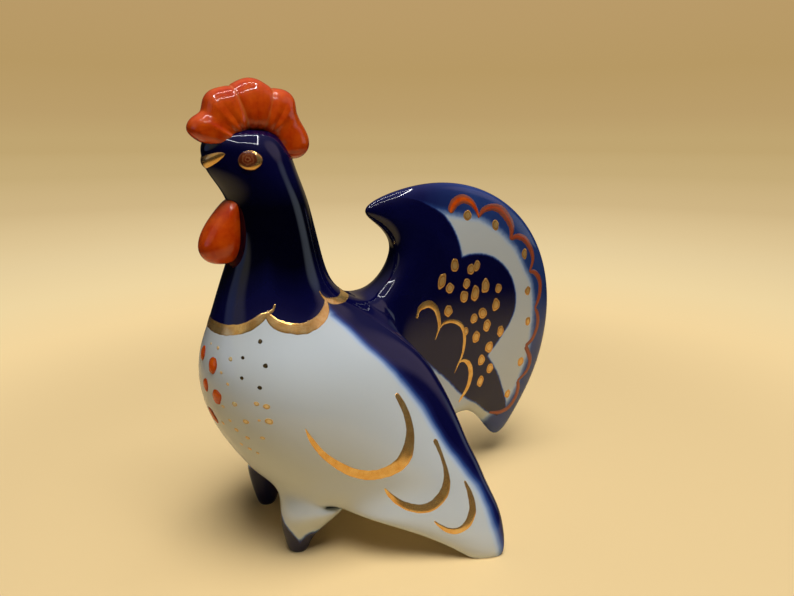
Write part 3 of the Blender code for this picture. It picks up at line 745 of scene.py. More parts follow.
def cut_seams(bm):
    """Cuts the skin where its castings meet, so that each is a piece of its own."""
    def beside(place, seam, reach=SEAM_REACH):
        return abs(place - seam) < reach

    def rump(p):
        inside = abs(p.x) < TAIL_SEAM_ENDS and p.z < SADDLE_Z + SEAM_OVERLAP
        return inside and beside(p.y, TAIL_SEAM_Y)

    def saddle(p):
        inside = abs(p.x) < TAIL_SEAM_ENDS and p.z > SADDLE_Z - SEAM_REACH
        return inside and beside(p.y, tail_start(p.z), SADDLE_SEAM_REACH)

    cut_along(bm, lambda p: beside(p.z, NECK_SEAM_Z), (0, 0, NECK_SEAM_Z), (0, 0, 1))
    cut_along(
        bm, lambda p: beside(p.z, FOOT_SEAM_Z) and over_foot(p), (0, 0, FOOT_SEAM_Z), (0, 0, 1)
    )
    cut_along(bm, rump, (0, TAIL_SEAM_Y, 0), (0, 1, 0))
    cut_along(bm, saddle, (0, TAIL_SEAM_Y, SADDLE_Z), (0, SADDLE_SLOPE, TAIL_SEAM_Y - TAIL_TIP_Y))
    for _, side in SIDES:
        wing = lambda p: p.x * side > WING_SEAM_START and beside(beyond_wing_seam(p), 0)
        root = lambda p: beside(p.x * side, TAIL_SEAM_HALF) and p.y > TAIL_SEAM_START
        normal = Vector((WING_SEAM_NORMAL.x * side, *WING_SEAM_NORMAL.yz))
        cut_along(bm, wing, normal * WING_SEAM_DISTANCE, normal)
        cut_along(bm, root, (side * TAIL_SEAM_HALF, 0, 0), (1, 0, 0))


def open_vent(bm):
    """The round vent under the belly, and the dark hollow behind it."""
    middle = Vector((0.0, VENT_Y))

    def over_vent(face):
        p = face.calc_center_median() / MM
        under = face.normal.z < FACING_DOWN and p.z > GROUND_CLEARANCE
        return under and (p.xy - middle).length < VENT_RADIUS

    bmesh.ops.delete(bm, geom=[f for f in bm.faces if over_vent(f)], context="FACES")
    rim = [e for e in bm.edges if e.is_boundary]
    for corner in {v for e in rim for v in e.verts}:
        out = (corner.co.xy / MM - middle).normalized() * VENT_RADIUS
        corner.co.xy = (middle + out) * MM
    for rise, spread in VENT_WALLS:
        made = bmesh.ops.extrude_edge_only(bm, edges=rim)["geom"]
        for corner in (v for v in made if isinstance(v, bmesh.types.BMVert)):
            out = (corner.co.xy / MM - middle).normalized() * spread
            corner.co += Vector((out.x, out.y, rise)) * MM
        for face in (f for f in made if isinstance(f, bmesh.types.BMFace)):
            face.material_index = BARE
        rim = [e for e in made if isinstance(e, bmesh.types.BMEdge) and e.is_boundary]
    for face in bmesh.ops.edgeloop_fill(bm, edges=rim)["faces"]:
        face.material_index = BARE


@functools.lru_cache(maxsize=1)
def skin():
    """The bird's whole skin, and a tree of it that rays are cast at."""
    bm = smoothed(skin_cage(), bpy.context.scene.rooster_sizes.smoothing)
    bmesh.ops.bisect_plane(
        bm, geom=[*bm.verts, *bm.edges, *bm.faces], dist=CUT_MERGE, plane_co=(0, 0, 0),
        plane_no=(0, 0, -1), clear_outer=True,
    )
    tree = BVHTree.FromBMesh(bm)
    cut_seams(bm)
    bm.normal_update()
    glaze_normal = bm.verts.layers.float_vector.new("glaze_normal")
    for corner in bm.verts:
        corner[glaze_normal] = corner.normal
    ground = [e for e in bm.edges if e.is_boundary]
    for face in bmesh.ops.edgeloop_fill(bm, edges=ground)["faces"]:
        face.material_index = BARE
    open_vent(bm)
    bmesh.ops.recalc_face_normals(bm, faces=bm.faces)
    return bm, tree


def place_piece(name, bm, slot, finishes, *nodes):
    """A finished mesh, moved to its place in the frame and riding on the bird."""
    bmesh.ops.translate(bm, verts=bm.verts, vec=(0, FEET_Y, 0))
    mesh = bpy.data.meshes.new(name)
    bm.to_mesh(mesh)
    bm.free()
    for finish in finishes:
        mesh.materials.append(surfaces()[finish])
    mesh.shade_smooth()
    piece = bpy.data.objects.new(name, mesh)
    bpy.context.scene.collection.objects.link(piece)
    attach(piece, "root")
    if nodes:
        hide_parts(*nodes)
    return piece


def points_of(mesh):
    """The mesh's points in millimetres, with depths from the feet."""
    places = np.empty(len(mesh.vertices) * 3, np.float32)
    mesh.vertices.foreach_get("co", places)
    places = places.reshape(-1, 3)
    places[:, 1] -= FEET_Y
    return places / MM


def keep_glaze_unbroken(mesh):
    """Shades each casting with the whole skin's normals, so that glaze runs over the seams."""
    normals = np.empty(len(mesh.vertices) * 3, np.float32)
    mesh.attributes["glaze_normal"].data.foreach_get("vector", normals)
    corners = np.empty(len(mesh.loops), np.int32)
    mesh.loops.foreach_get("vertex_index", corners)
    turned = normals.reshape(-1, 3)[corners]
    for face in mesh.polygons:
        if face.material_index == BARE:
            turned[face.loop_start:face.loop_start + face.loop_total] = face.normal
    mesh.normals_split_custom_set(turned)
    mesh.attributes.remove(mesh.attributes["glaze_normal"])


def smooth_run(points):
    """Points on a smooth curve through the given ones."""
    points = np.array(points, float)
    ends = np.vstack([2 * points[0] - points[1], points, 2 * points[-1] - points[-2]])
    out = []
    for a, b, c, d in zip(ends, ends[1:], ends[2:], ends[3:]):
        for t in np.arange(CURVE_STEPS) / CURVE_STEPS:
            bend = (2 * a - 5 * b + 4 * c - d) * t * t + (3 * b - a - 3 * c + d) * t ** 3
            out.append((2 * b + (c - a) * t + bend) / 2)
    return np.vstack([out, points[-1]])


def outline_depth(u, v, runs):
    """How deep points lie inside an outline, in millimetres. Outside it they are below zero."""
    outline = np.vstack([smooth_run(run) if len(run) > 2 else run for run in runs])
    nearest = np.full(u.shape, np.inf)
    inside = np.zeros(u.shape, bool)
    for (u1, v1), (u2, v2) in zip(outline, np.roll(outline, -1, axis=0)):
        du, dv = u2 - u1, v2 - v1
        length = du * du + dv * dv
        if length == 0:
            continue
        share = np.clip(((u - u1) * du + (v - v1) * dv) / length, 0, 1)
        nearest = np.minimum(nearest, np.hypot(u - u1 - share * du, v - v1 - share * dv))
        if v1 != v2:
            inside ^= ((v1 > v) != (v2 > v)) & (u < u1 + (v - v1) / dv * du)
    return np.where(inside, nearest, -nearest)


def along(values, table):
    """A table's second column, read at values of its first."""
    first, second = zip(*table)
    return np.interp(values, first, second)


def brushed_depth(places):
    """How deep points lie inside the fields that a brush laid: neck, tail and feet."""
    x, y, z = places.T
    side = np.abs(x)
    turn = np.degrees(np.arctan2(side, ROUND_Y - y))
    neck = np.minimum(z - along(turn, NECK_EDGE), NECK_EDGE_BACK_Y - y)
    tail = np.minimum(outline_depth(y, z, TAIL_FIELD), TAIL_PAINT_HALF - side)
    round_leg = np.degrees(np.arctan2(side - LEG_AXIS[0], LEG_AXIS[1] - y))
    off_leg = np.hypot(side - LEG_AXIS[0], LEG_AXIS[1] - y)
    feet = FOOT_EDGE_SHARPNESS * np.minimum(along(round_leg, FOOT_EDGE) - z, LEG_REACH - off_leg)
    return np.maximum(np.maximum(neck, tail), feet)


def sprayed_depth(places):
    """How deep points lie inside the soft sprayed field of the back and the wings' ridges."""
    x, y, z = places.T
    side = np.abs(x)
    edge_z, edge_y, edge_x = zip(*SADDLE_EDGE)
    inward = np.interp(z, edge_z, edge_x) - side
    behind = y - np.interp(z, edge_z, edge_y) + BACK_FIELD_SPREAD * inward
    back = np.minimum(behind, outline_depth(y, z, [BACK_FIELD]))
    back = np.minimum(back, BACK_FIELD_END_Y - y)
    ridge_z, ridge_x, ridge_y = zip(*((s.z, s.ridge_x, s.ridge_y) for s in (*WING[::-1], *TORSO)))
    off_ridge = np.hypot(side - np.interp(z, ridge_z, ridge_x), y - np.interp(z, ridge_z, ridge_y))
    return np.maximum(back, along(z, RIDGE_BAND) - off_ridge)


def rim_depth(places):
    """How deep points lie in the thin wash along the tail's rim."""
    x, y, z = places.T
    return np.minimum(outline_depth(y, z, TAIL_RIM), TAIL_PAINT_HALF - np.abs(x))


def seen_from_side(side):
    """A chart that looks square at one side: u is the depth and v the height."""
    def ray(u, v):
        return Vector((side * FAR, u * MM, v * MM)), Vector((-side, 0, 0))
    return ray


def seen_round(side):
    """A chart round the breast: u runs round it at ROUND_RADIUS, and v is the height."""
    def ray(u, v):
        turn = side * u / ROUND_RADIUS
        return Vector((0, ROUND_Y * MM, v * MM)), Vector((math.sin(turn), -math.cos(turn), 0))
    return ray


def arc(points):
    """Points given as degrees round the breast, with the degrees as millimetres of arc."""
    return [(math.radians(p[0]) * ROUND_RADIUS, *p[1:]) for p in points]


def touch(start, heading):
    """Where a ray first meets the skin, and the way that the skin faces there."""
    place, normal = skin()[1].ray_cast(start, heading)[:2]
    if place is None:
        raise ValueError(f"no skin lies ahead of {start}")
    return place, normal


def on_skin(ray, u, v, rise):
    """The place on the skin that a chart's point falls on, raised off it."""
    place, normal = touch(*ray(u, v))
    return place + normal * rise


def shake(*seeds):
    """A steady hand's small waver, the same on every run."""
    return noise.noise(Vector(seeds))


def edge_layer(bm):
    """How near each corner is to the edge of its paint, from 0 to 1."""
    layers = bm.verts.layers.float
    return layers.get("edge") or layers.new("edge")


def second_finish(bm, first):
    """Gives all but the first faces the piece's second finish."""
    for face in bm.faces:
        face.material_index = int(face not in first)


def lay_stroke(bm, points, ray, rise, seed=0.0, thin=0.0):
    """A brush stroke through points (u, v, half width): a strip draped on the skin.

    Thin is how dry the brush was, from 0 to 1.
    """
    edge = edge_layer(bm)
    run = smooth_run(points)
    run[:, 2] *= STROKE_SPREAD
    lengths = np.concatenate([[0], np.cumsum(np.hypot(*np.diff(run[:, :2], axis=0).T))])
    count = max(STROKE_LEAST_STEPS, round(lengths[-1] / STROKE_STEP))
    marks = np.linspace(0, lengths[-1], count + 1)
    u, v, half = (np.interp(marks, lengths, column) for column in run.T)
    from_end = np.minimum(marks, lengths[-1] - marks)
    round_end = np.clip(from_end / np.maximum(half, STROKE_LEAST_END), 0, 1)
    half = np.maximum(half, STROKE_LEAST_HALF) * np.sqrt(1 - (1 - round_end) ** 2)
    heading = np.array([np.gradient(u), np.gradient(v)])
    heading /= np.hypot(*heading)
    grid = bmesh.ops.create_grid(bm, x_segments=count, y_segments=STROKE_ACROSS, size=0.5)
    for corner in grid["verts"]:
        k = round((corner.co.x + 0.5) * count)
        across = 2 * corner.co.y
        waver = 1 + STROKE_WAVER * shake(marks[k] * STROKE_WAVES, seed, across // 2)
        off = across * half[k] * waver
        low = across ** STROKE_DOME_POWER
        dome = rise * (1 - low) - PAINT_TUCK * low
        corner.co = on_skin(ray, u[k] - heading[1][k] * off, v[k] + heading[0][k] * off, dome)
        corner[edge] = thin + (1 - thin) * abs(across)
    bmesh.ops.remove_doubles(bm, verts=grid["verts"], dist=STROKE_MERGE)


def lay_dab(
    bm, centre, reach, tilt, ray, rise, seed=0.0, rounds=3, point=0.0, lift=0.0, waver=DAB_WAVER
):
    """A dab of paint: a lens draped on the skin, with the brush's uneven edge.

    It can be drawn out to a point at the back, or lie on paint that lifts it.
    """
    edge = edge_layer(bm)
    lens = bmesh.ops.create_icosphere(bm, subdivisions=rounds, radius=1.0)
    lean = Matrix.Rotation(math.radians(tilt), 2)
    for corner in lens["verts"]:
        flat = Vector((corner.co.x, corner.co.y))
        out = min(flat.length, 1.0)
        way = flat.normalized() if out > 0 else flat
        grown = 1 + waver * shake(way.x * DAB_WAVES + seed, way.y * DAB_WAVES, seed)
        grown += point * max(0.0, way.x) ** DAB_POINT_POWER
        spot = lean @ Vector((flat.x * reach[0], flat.y * reach[1])) * grown
        height = lift + corner.co.z * (rise if corner.co.z > 0 else PAINT_TUCK * 2)
        corner.co = on_skin(ray, centre[0] + spot.x, centre[1] + spot.y, height)
        corner[edge] = out


def comb_groove(place):
    """How far the nearest groove is from a point of the comb, in millimetres, and how clear."""
    y, z = place.y / MM - COMB_CENTRE[0], place.z / MM - COMB_CENTRE[1]
    degrees = math.degrees(math.atan2(z, y))
    lobe = min(COMB[1:], key=lambda one: abs(degrees - one.start))
    off = abs(degrees - lobe.start) * math.radians(math.hypot(y, z))
    return off, COMB_LINES.get(lobe.start, COMB_FAINT_LINE)


def comb_cage():
    slices = []
    columns = []
    for lobe in COMB:
        columns.append((lobe.start, lobe.notch, COMB_HALF_THICK - COMB_GROOVE))
        for share in COMB_LOBE_SHARES:
            degrees = lobe.start + (lobe.end - lobe.start) * share
            drop = 0.0 if share == 0.5 else COMB_LOBE_DROP
            columns.append((degrees, lobe.reach - drop, COMB_HALF_THICK))
    columns.append((COMB[-1].end, COMB_END_REACH, COMB_HALF_THICK - COMB_GROOVE))
    for degrees, radius, half in columns:
        angle = math.radians(degrees)
        places = []
        for turn in COMB_SECTION_DEG:
            a = math.radians(turn)
            out = COMB_ROOT_RADIUS + (radius - COMB_ROOT_RADIUS) * math.cos(a) ** COMB_CREST_POWER
            x = half * math.copysign(abs(math.sin(a)) ** COMB_SIDE_POWER, a)
            y = COMB_CENTRE[0] + out * math.cos(angle)
            z = COMB_CENTRE[1] + out * math.sin(angle)
            places.append(Vector((x, y, z)) * MM)
        slices.append(places)
    return closed_tube(slices)


def wattle_cage():
    slices = []
    for cut in WATTLE:
        oval = Oval(cut.z, cut.y - cut.half_y, cut.y + cut.half_y, cut.half_x, 0.0)
        slices.append(whole_ring(oval_outline(oval, WATTLE_CORNERS), cut.z))
    return closed_tube(slices)


def beak_cage():
    slices = []
    for share in BEAK_SHARES:
        swell = math.sqrt(1 - abs(share) ** BEAK_BLUNT)
        swell = BEAK_CORNER_SHARE + (1 - BEAK_CORNER_SHARE) * swell
        x = BEAK_HALF_WIDTH * share
        z = BEAK_Z + BEAK_RISE * abs(share) ** BEAK_RISE_POWER
        skin_y = touch(Vector((x, -FAR, z)), Vector((0, 1, 0)))[0].y
        places = []
        for k in range(BEAK_CORNERS):
            angle = math.radians(k * 360 / BEAK_CORNERS)
            y = skin_y - BEAK_PROUD * swell + BEAK_DEPTH * (1 - math.cos(angle)) / 2
            places.append(Vector((x, y, z + BEAK_HALF_HEIGHT * swell * math.sin(angle))))
        slices.append(places)
    return closed_tube(slices)


def linear(text):
    """An sRGB hex colour as the linear colour that a shader takes."""
    parts = [int(text[k:k + 2], 16) / 255 for k in (1, 3, 5)]
    return (*(p / 12.92 if p <= 0.04045 else ((p + 0.055) / 1.055) ** 2.4 for p in parts), 1.0)


def per_mm(size):
    """A texture scale whose pattern repeats about every so many millimetres."""
    return 1 / (size * MM)


def add(tree, kind, inputs=None, stops=(), **settings):
    """A node with its settings, inputs and colour stops.

    An input is a value, a socket, or a node, which gives the first output that it has in use.
    A stop's colour is linear, or an sRGB hex text.
    """
    made = tree.nodes.new("ShaderNode" + kind)
    for name, value in settings.items():
        setattr(made, name, value)
    for socket, value in (inputs or {}).items():
        if isinstance(value, bpy.types.Node):
            value = next(output for output in value.outputs if output.enabled)
        if isinstance(value, bpy.types.NodeSocket):
            tree.links.new(value, made.inputs[socket])
        else:
            made.inputs[socket].default_value = value
    for k, (place, colour) in enumerate(stops):
        ramp = made.color_ramp.elements
        stop = ramp[k] if k < len(ramp) else ramp.new(place)
        stop.position = place
        stop.color = linear(colour) if isinstance(colour, str) else colour
    return made


def new_surface(name):
    surface = bpy.data.materials.new(name)
    surface.use_nodes = True
    tree = surface.node_tree
    tree.nodes.clear()
    return surface, tree, add(tree, "TexCoord").outputs["Object"]


def finish_surface(surface, colour, roughness, rest):
    tree = surface.node_tree
    shader = add(tree, "BsdfPrincipled", {"Base Color": colour, "Roughness": roughness, **rest})
    add(tree, "OutputMaterial", {"Surface": shader})
    return surface


def painted_porcelain(colours):
    """Slip-cast porcelain with cobalt painted and sprayed under its clear glaze.

    The glaze gives sharp reflections over every colour. Cobalt bleeds a little as the glaze
    melts, so each field's edge runs through blue to a pale halo on the white.
    """
    surface, tree, where = new_surface("Glazed porcelain with underglaze cobalt")
    fine = add(tree, "TexNoise", {"Vector": where, "Scale": per_mm(1.6), "Detail": 3.0})
    broad = add(tree, "TexNoise", {"Vector": where, "Scale": per_mm(14), "Detail": 2.0})
    spot = add(tree, "SeparateXYZ", {"Vector": where}).outputs
    # The rim's wash thins out from the tail's upper tip towards its back
    start, end = WASH_THINS
    wash = add(
        tree, "MapRange",
        {"Value": spot["Y"], "From Min": start, "From Max": end, "To Min": 0.92, "To Max": 0.62},
    )
    cover = None
    # Each field's name, how far its edge wanders, where it starts and ends, and its depth
    for name, wander, reach, start, end, most in (
        ("brushed", fine, 0.5, -0.9, 0.7, 1.0),
        ("sprayed", broad, 1.8, -3.8, 2.6, 1.0),
        ("rim", fine, 0.9, -2.4, 2.2, wash),
    ):
        depth = add(tree, "Attribute", attribute_name=name).outputs["Fac"]
        moved = add(tree, "Math", {0: wander, 1: reach, 2: depth}, operation="MULTIPLY_ADD")
        limits = {"From Min": start + reach / 2, "From Max": end + reach / 2, "To Max": most}
        soft = add(tree, "MapRange", {"Value": moved, **limits}, interpolation_type="SMOOTHSTEP")
        if cover is not None:
            soft = add(tree, "Math", {0: cover, 1: soft}, operation="MAXIMUM")
        cover = soft
    patchy = add(tree, "Math", {0: broad, 1: 0.16, 2: -0.08}, operation="MULTIPLY_ADD")
    uneven = add(tree, "Math", {0: patchy, 1: cover, 2: cover}, operation="MULTIPLY_ADD")
    stops = [
        (0.0, colours.porcelain[:]), (0.12, "#BCCDE2"), (0.3, "#7C97C6"),
        (0.55, colours.thin_cobalt[:]), (0.78, "#151A52"), (1.0, colours.cobalt[:]),
    ]
    ramp = add(tree, "ValToRGB", {"Fac": uneven}, stops)
    # Deep in the brushed fields the cobalt is darkened towards black, from 6 to 15 millimetres
    # inside their edges, and it is darkened less within 15 millimetres below CROWN_Z, as painted
    # sheen on the crown
    brushed = add(tree, "Attribute", attribute_name="brushed").outputs["Fac"]
    below = add(tree, "Math", {0: spot["Z"], 1: -1 / MM, 2: CROWN_Z}, operation="MULTIPLY_ADD")
    darkened_depth = add(tree, "Math", {0: brushed, 1: below}, operation="MINIMUM")
    share = add(tree, "MapRange", {"Value": darkened_depth, "From Min": 6.0, "From Max": 15.0})
    black = add(tree, "ValToRGB", {"Fac": share}, [(0.0, "#FFFFFF"), (1.0, "#6A6A70")])
    deep = add(
        tree, "Mix", {"Factor": 1.0, "A": ramp, "B": black}, data_type="RGBA", blend_type="MULTIPLY"
    )
    # The clear glaze settles with a faint roll, a few millimetres across
    roll = add(tree, "TexNoise", {"Vector": where, "Scale": per_mm(5), "Detail": 1.0})
    bump = add(tree, "Bump", {"Height": roll, "Strength": 0.12, "Distance": 0.1 * MM})
    rough = add(tree, "MapRange", {"Value": broad, "To Min": 0.03, "To Max": 0.08})
    return finish_surface(surface, deep, rough, {"IOR": 1.52, "Normal": bump})


def bare_porcelain():
    """Unglazed biscuit porcelain, where the bird stood in the kiln: white, dry and fine-grained."""
    surface, tree, where = new_surface("Biscuit porcelain")
    grain = add(tree, "TexNoise", {"Vector": where, "Scale": per_mm(0.5), "Detail": 4.0})
    tone = add(tree, "ValToRGB", {"Fac": grain}, [(0.3, "#CFC8BA"), (0.7, "#E9E4DA")])
    bump = add(tree, "Bump", {"Height": grain, "Strength": 0.3, "Distance": 0.05 * MM})
    return finish_surface(surface, tone, 0.75, {"Normal": bump})


def gilding(name, colours, deep, rim, metal, polish):
    """Gold fired over the glaze and left unpolished, with darker or paler rims where it ran thin.

    Its rim is a tone for each share of the way from the middle to the edge.
    """
    surface, tree, where = new_surface(name)
    edge = add(tree, "Attribute", attribute_name="edge").outputs["Fac"]
    worn = add(
        tree, "TexNoise", {"Vector": where, "Scale": per_mm(2.2), "Detail": 4.0, "Roughness": 0.65}
    )
    patch = add(tree, "ValToRGB", {"Fac": worn}, [(0.3, deep), (0.65, colours.gilt[:])])
    place = add(tree, "Math", {0: worn, 1: 0.3, 2: edge}, operation="MULTIPLY_ADD")
    place = add(tree, "Math", {0: place, 1: -0.15}, operation="ADD")
    tone = add(tree, "ValToRGB", {"Fac": place}, rim)
    colour = add(
        tree, "Mix", {"Factor": 1.0, "A": patch, "B": tone}, data_type="RGBA", blend_type="MULTIPLY"
    )
    streak = add(tree, "TexNoise", {"Vector": where, "Scale": per_mm(0.8), "Detail": 2.0})
    rough = add(tree, "MapRange", {"Value": streak, "To Min": polish[0], "To Max": polish[1]})
    bump = add(tree, "Bump", {"Height": streak, "Strength": 0.03, "Distance": 0.04 * MM})
    return finish_surface(surface, colour, rough, {"Metallic": metal, "Normal": bump})


def orange_enamel(name, deep, bright, thin_and_shade_colour, thin_and_shade_from, most=0.75):
    """Iron-red enamel fired over the glaze: glossy, strong where it is thick, paler where thin. On
    the drops its edge colour is darker instead, as painted shade round each dome.
    """
    surface, tree, where = new_surface(name)
    edge = add(tree, "Attribute", attribute_name="edge").outputs["Fac"]
    wash = add(tree, "TexNoise", {"Vector": where, "Scale": per_mm(3.5), "Detail": 3.0})
    thick = add(tree, "ValToRGB", {"Fac": wash}, [(0.3, deep), (0.65, bright)])
    thin = add(tree, "Math", {0: wash, 1: 0.5, 2: edge}, operation="MULTIPLY_ADD")
    share = add(
        tree, "MapRange",
        {"Value": thin, "From Min": thin_and_shade_from, "From Max": thin_and_shade_from + 0.5, "To Max": most},
    )
    colour = add(
        tree, "Mix", {"Factor": share, "A": thick, "B": linear(thin_and_shade_colour)}, data_type="RGBA"
    )
    roll = add(tree, "TexNoise", {"Vector": where, "Scale": per_mm(2.5), "Detail": 1.0})
    bump = add(tree, "Bump", {"Height": roll, "Strength": 0.3, "Distance": 0.12 * MM})
    rough = add(tree, "MapRange", {"Value": wash, "To Min": 0.05, "To Max": 0.12})
    return finish_surface(surface, colour, rough, {"IOR": 1.5, "Normal": bump})


def iris_enamel(colours):
    """Red-brown enamel over the gilt of the eye, with a dark ring and pupil drawn in it."""
    surface, tree, where = new_surface("Red-brown eye enamel")
    edge = add(tree, "Attribute", attribute_name="edge").outputs["Fac"]
    swirl = add(tree, "TexNoise", {"Vector": where, "Scale": per_mm(0.7), "Detail": 3.0})
    place = add(tree, "Math", {0: swirl, 1: 0.5, 2: edge}, operation="MULTIPLY_ADD")
    stops = [
        (0.2, "#3A1408"), (0.34, colours.iris[:]), (0.5, "#A66A3E"), (0.62, colours.iris[:]),
        (0.86, "#965832"), (0.98, "#6A3014"),
    ]
    return finish_surface(surface, add(tree, "ValToRGB", {"Fac": place}, stops), 0.12, {})


def dark_specks():
    """Specks of gold so thin that it fired nearly black."""
    surface, tree, where = new_surface("Thin dark gilding")
    grain = add(tree, "TexNoise", {"Vector": where, "Scale": per_mm(0.5), "Detail": 3.0})
    tone = add(tree, "ValToRGB", {"Fac": grain}, [(0.35, "#1C160C"), (0.75, "#6A5426")])
    return finish_surface(surface, tone, 0.3, {"Metallic": 0.5})


@functools.lru_cache(maxsize=1)
def surfaces():
    """Every finish of the bird, made once."""
    colours = bpy.context.scene.rooster_colours
    brushed_rim = ((0.84, "#FFFFFF"), (1.0, "#7A4A2C"))
    dabbed_rim = ((0.55, "#FFFFFF"), (0.66, "#B48A58"), (0.76, "#FFF6E4"), (1.0, "#EED8B4"))
    faint_rim = ((0.5, "#FFFFFF"), (0.8, "#D8C490"), (1.0, "#FFF6E4"))
    enamel = colours.enamel[:]
    return {
        "porcelain": painted_porcelain(colours),
        "biscuit": bare_porcelain(),
        "gilt": gilding("Brushed gilding", colours, "#EBAE56", brushed_rim, 0.8, (0.15, 0.2)),
        "dots": gilding("Dabbed gilding", colours, "#F0B860", dabbed_rim, 0.6, (0.2, 0.3)),
        "faint": gilding("Faint gilding", colours, "#E0D2A4", faint_rim, 0.2, (0.3, 0.4)),
        "orange": orange_enamel("Orange enamel", "#CC3C02", enamel, "#E07C3A", 0.9),
        "line": orange_enamel("Orange enamel line", "#CC4006", "#E8620E", "#844E3E", 0.4, 0.9),
        # The drops' darker edge colour is painted shade on the sides of each dome
        "drops": orange_enamel("Orange enamel drops", "#DA4A06", "#F0700E", "#7A1E04", 0.8),
        "iris": iris_enamel(colours),
        "specks": dark_specks(),
    }


def card_surface(settings):
    """A sheet of matt coloured card that fades into its backdrop, as a studio's sweep does."""
    surface, tree, where = new_surface("Matt card")
    lit = add(
        tree, "BsdfPrincipled",
        {"Base Color": settings.card[:], "Roughness": 0.85, "Specular IOR Level": 0.2},
    )
    away = add(tree, "VectorMath", {0: where}, operation="LENGTH")
    faded, dark = (
        add(
            tree, "MapRange", {"Value": away, "From Min": start, "From Max": end},
            interpolation_type="SMOOTHSTEP",
        )
        for start, end in (CARD_FADE, CARD_MIRRORED)
    )
    path = add(tree, "LightPath").outputs
    share = add(tree, "Math", {0: faded, 1: path["Is Camera Ray"]}, operation="MULTIPLY")
    # The far card shows painted light: a glow that is brightest near the bird and darker away from
    # it
    end = CARD_FAR[-1][0]
    far = add(tree, "Math", {0: away, 1: end}, operation="DIVIDE")
    tone = add(tree, "ValToRGB", {"Fac": far}, [(place / end, text) for place, text in CARD_FAR])
    shown = add(tree, "MixShader", {0: share, 1: lit, 2: add(tree, "Emission", {"Color": tone})})
    # The bird mirrors the near card, and is lit by it. To its glaze the near card is darkened by a
    # share of the dim room, and the far card is the dim room, as a painted dark reflection. Light
    # bounced off the far card is the dim room's too.
    dim = add(tree, "Math", {0: dark, 1: CARD_DIMMED}, operation="MAXIMUM")
    mirrored = add(tree, "Math", {0: dim, 1: path["Is Glossy Ray"]}, operation="MULTIPLY")
    bounced = add(tree, "Math", {0: dark, 1: path["Is Diffuse Ray"]}, operation="MULTIPLY")
    share = add(tree, "Math", {0: mirrored, 1: bounced}, operation="MAXIMUM")
    room = add(tree, "Emission", {"Color": settings.room[:]})
    mixed = add(tree, "MixShader", {0: share, 1: shown, 2: room})
    add(tree, "OutputMaterial", {"Surface": mixed})
    return surface


def lay_card(scene):
    """The round sheet of card that the bird stands on."""
    bm = bmesh.new()
    bmesh.ops.create_circle(bm, cap_ends=True, segments=96, radius=CARD_RADIUS)
    mesh = bpy.data.meshes.new("card")
    bm.to_mesh(mesh)
    bm.free()
    mesh.materials.append(card_surface(scene.rooster_stage))
    card = bpy.data.objects.new("card", mesh)
    scene.collection.objects.link(card)


def studio():
    """The world: a faint fill for the light, the backdrop for the camera, and a room for glaze.

    The glaze mirrors a painted reflection that lights nothing: a dim room with a paler ceiling,
    glows for its windows, and the backdrop behind it.
    """
    world = bpy.data.worlds.new("Studio")
    world.use_nodes = True
    tree = world.node_tree
    tree.nodes.clear()
    path = add(tree, "LightPath").outputs
    glossy = path["Is Glossy Ray"]
    seen = add(tree, "Math", {0: path["Is Camera Ray"], 1: glossy}, operation="MAXIMUM")
    seen = add(tree, "Math", {0: seen, 1: path["Is Transmission Ray"]}, operation="MAXIMUM")
    ahead = add(tree, "TexCoord").outputs["Generated"]
    height = add(tree, "SeparateXYZ", {"Vector": ahead}).outputs["Z"]
    room, behind = (add(tree, "ValToRGB", {"Fac": height}, stops) for stops in (ROOM, BACKDROP))
    # Each glow is a painted reflection, which only glossy rays see
    for heading, near, far, colour in MIRRORED:
        toward = add(tree, "VectorMath", {0: ahead, 1: heading}, operation="DOT_PRODUCT")
        share = add(
            tree, "MapRange", {"Value": toward, "From Min": far, "From Max": near},
            interpolation_type="SMOOTHSTEP",
        )
        room = add(tree, "Mix", {"Factor": share, "A": room, "B": linear(colour)}, data_type="RGBA")
    sky = add(tree, "Mix", {"Factor": glossy, "A": behind, "B": room}, data_type="RGBA")
    shown = add(tree, "Background", {"Color": sky, "Strength": 1.0})
    fill = add(tree, "Background", {"Color": FILL_COLOUR, "Strength": FILL_STRENGTH})
    mixed = add(tree, "MixShader", {0: seen, 1: fill, 2: shown})
    add(tree, "OutputWorld", {"Surface": mixed})
    return world


def hang_lamps(scene):
    """The ceiling light, which only lights, and the strips, which only the glaze mirrors."""
    for name, place, aim, size, power in (CEILING, *STRIPS):
        mirrored = name != CEILING[0]
        lamp = bpy.data.lights.new(name, "AREA")
        lamp.shape = "RECTANGLE"
        lamp.size, lamp.size_y = size
        lamp.energy = power * scene.rooster_stage.light
        holder = bpy.data.objects.new(name, lamp)
        holder.location = place
        heading = Vector(aim) - Vector(place)
        holder.rotation_euler = heading.to_track_quat("-Z", "Y").to_euler()
        holder.visible_camera = False
        holder.visible_glossy = mirrored
        holder.visible_diffuse = not mirrored
        scene.collection.objects.link(holder)


def set_up_camera(scene):
    lens = bpy.data.cameras.new("camera")
    lens.lens = LENS_MM
    lens.sensor_width = SENSOR_MM
    lens.clip_start = 0.01
    camera = bpy.data.objects.new("camera", lens)
    turn, height = (math.radians(a) for a in CAMERA_ANGLES)
    level = math.cos(height)
    back = Vector((math.sin(turn) * level, -math.cos(turn) * level, math.sin(height)))
    camera.location = CAMERA_PLACE
    camera.rotation_euler = (-back).to_track_quat("-Z", "Y").to_euler()
    scene.collection.objects.link(camera)
    scene.camera = camera


def height_property(name, description, default, least, most):
    """A height in metres, from millimetres."""
    return FloatProperty(
        name=name, description=description, default=default * MM, min=least * MM, max=most * MM,
        precision=5, subtype="DISTANCE", unit="LENGTH",
    )


def colour_property(name, description, default):
    return FloatVectorProperty(
        name=name, description=description, default=linear(default), subtype="COLOR", size=4,
        min=0, max=1,
    )


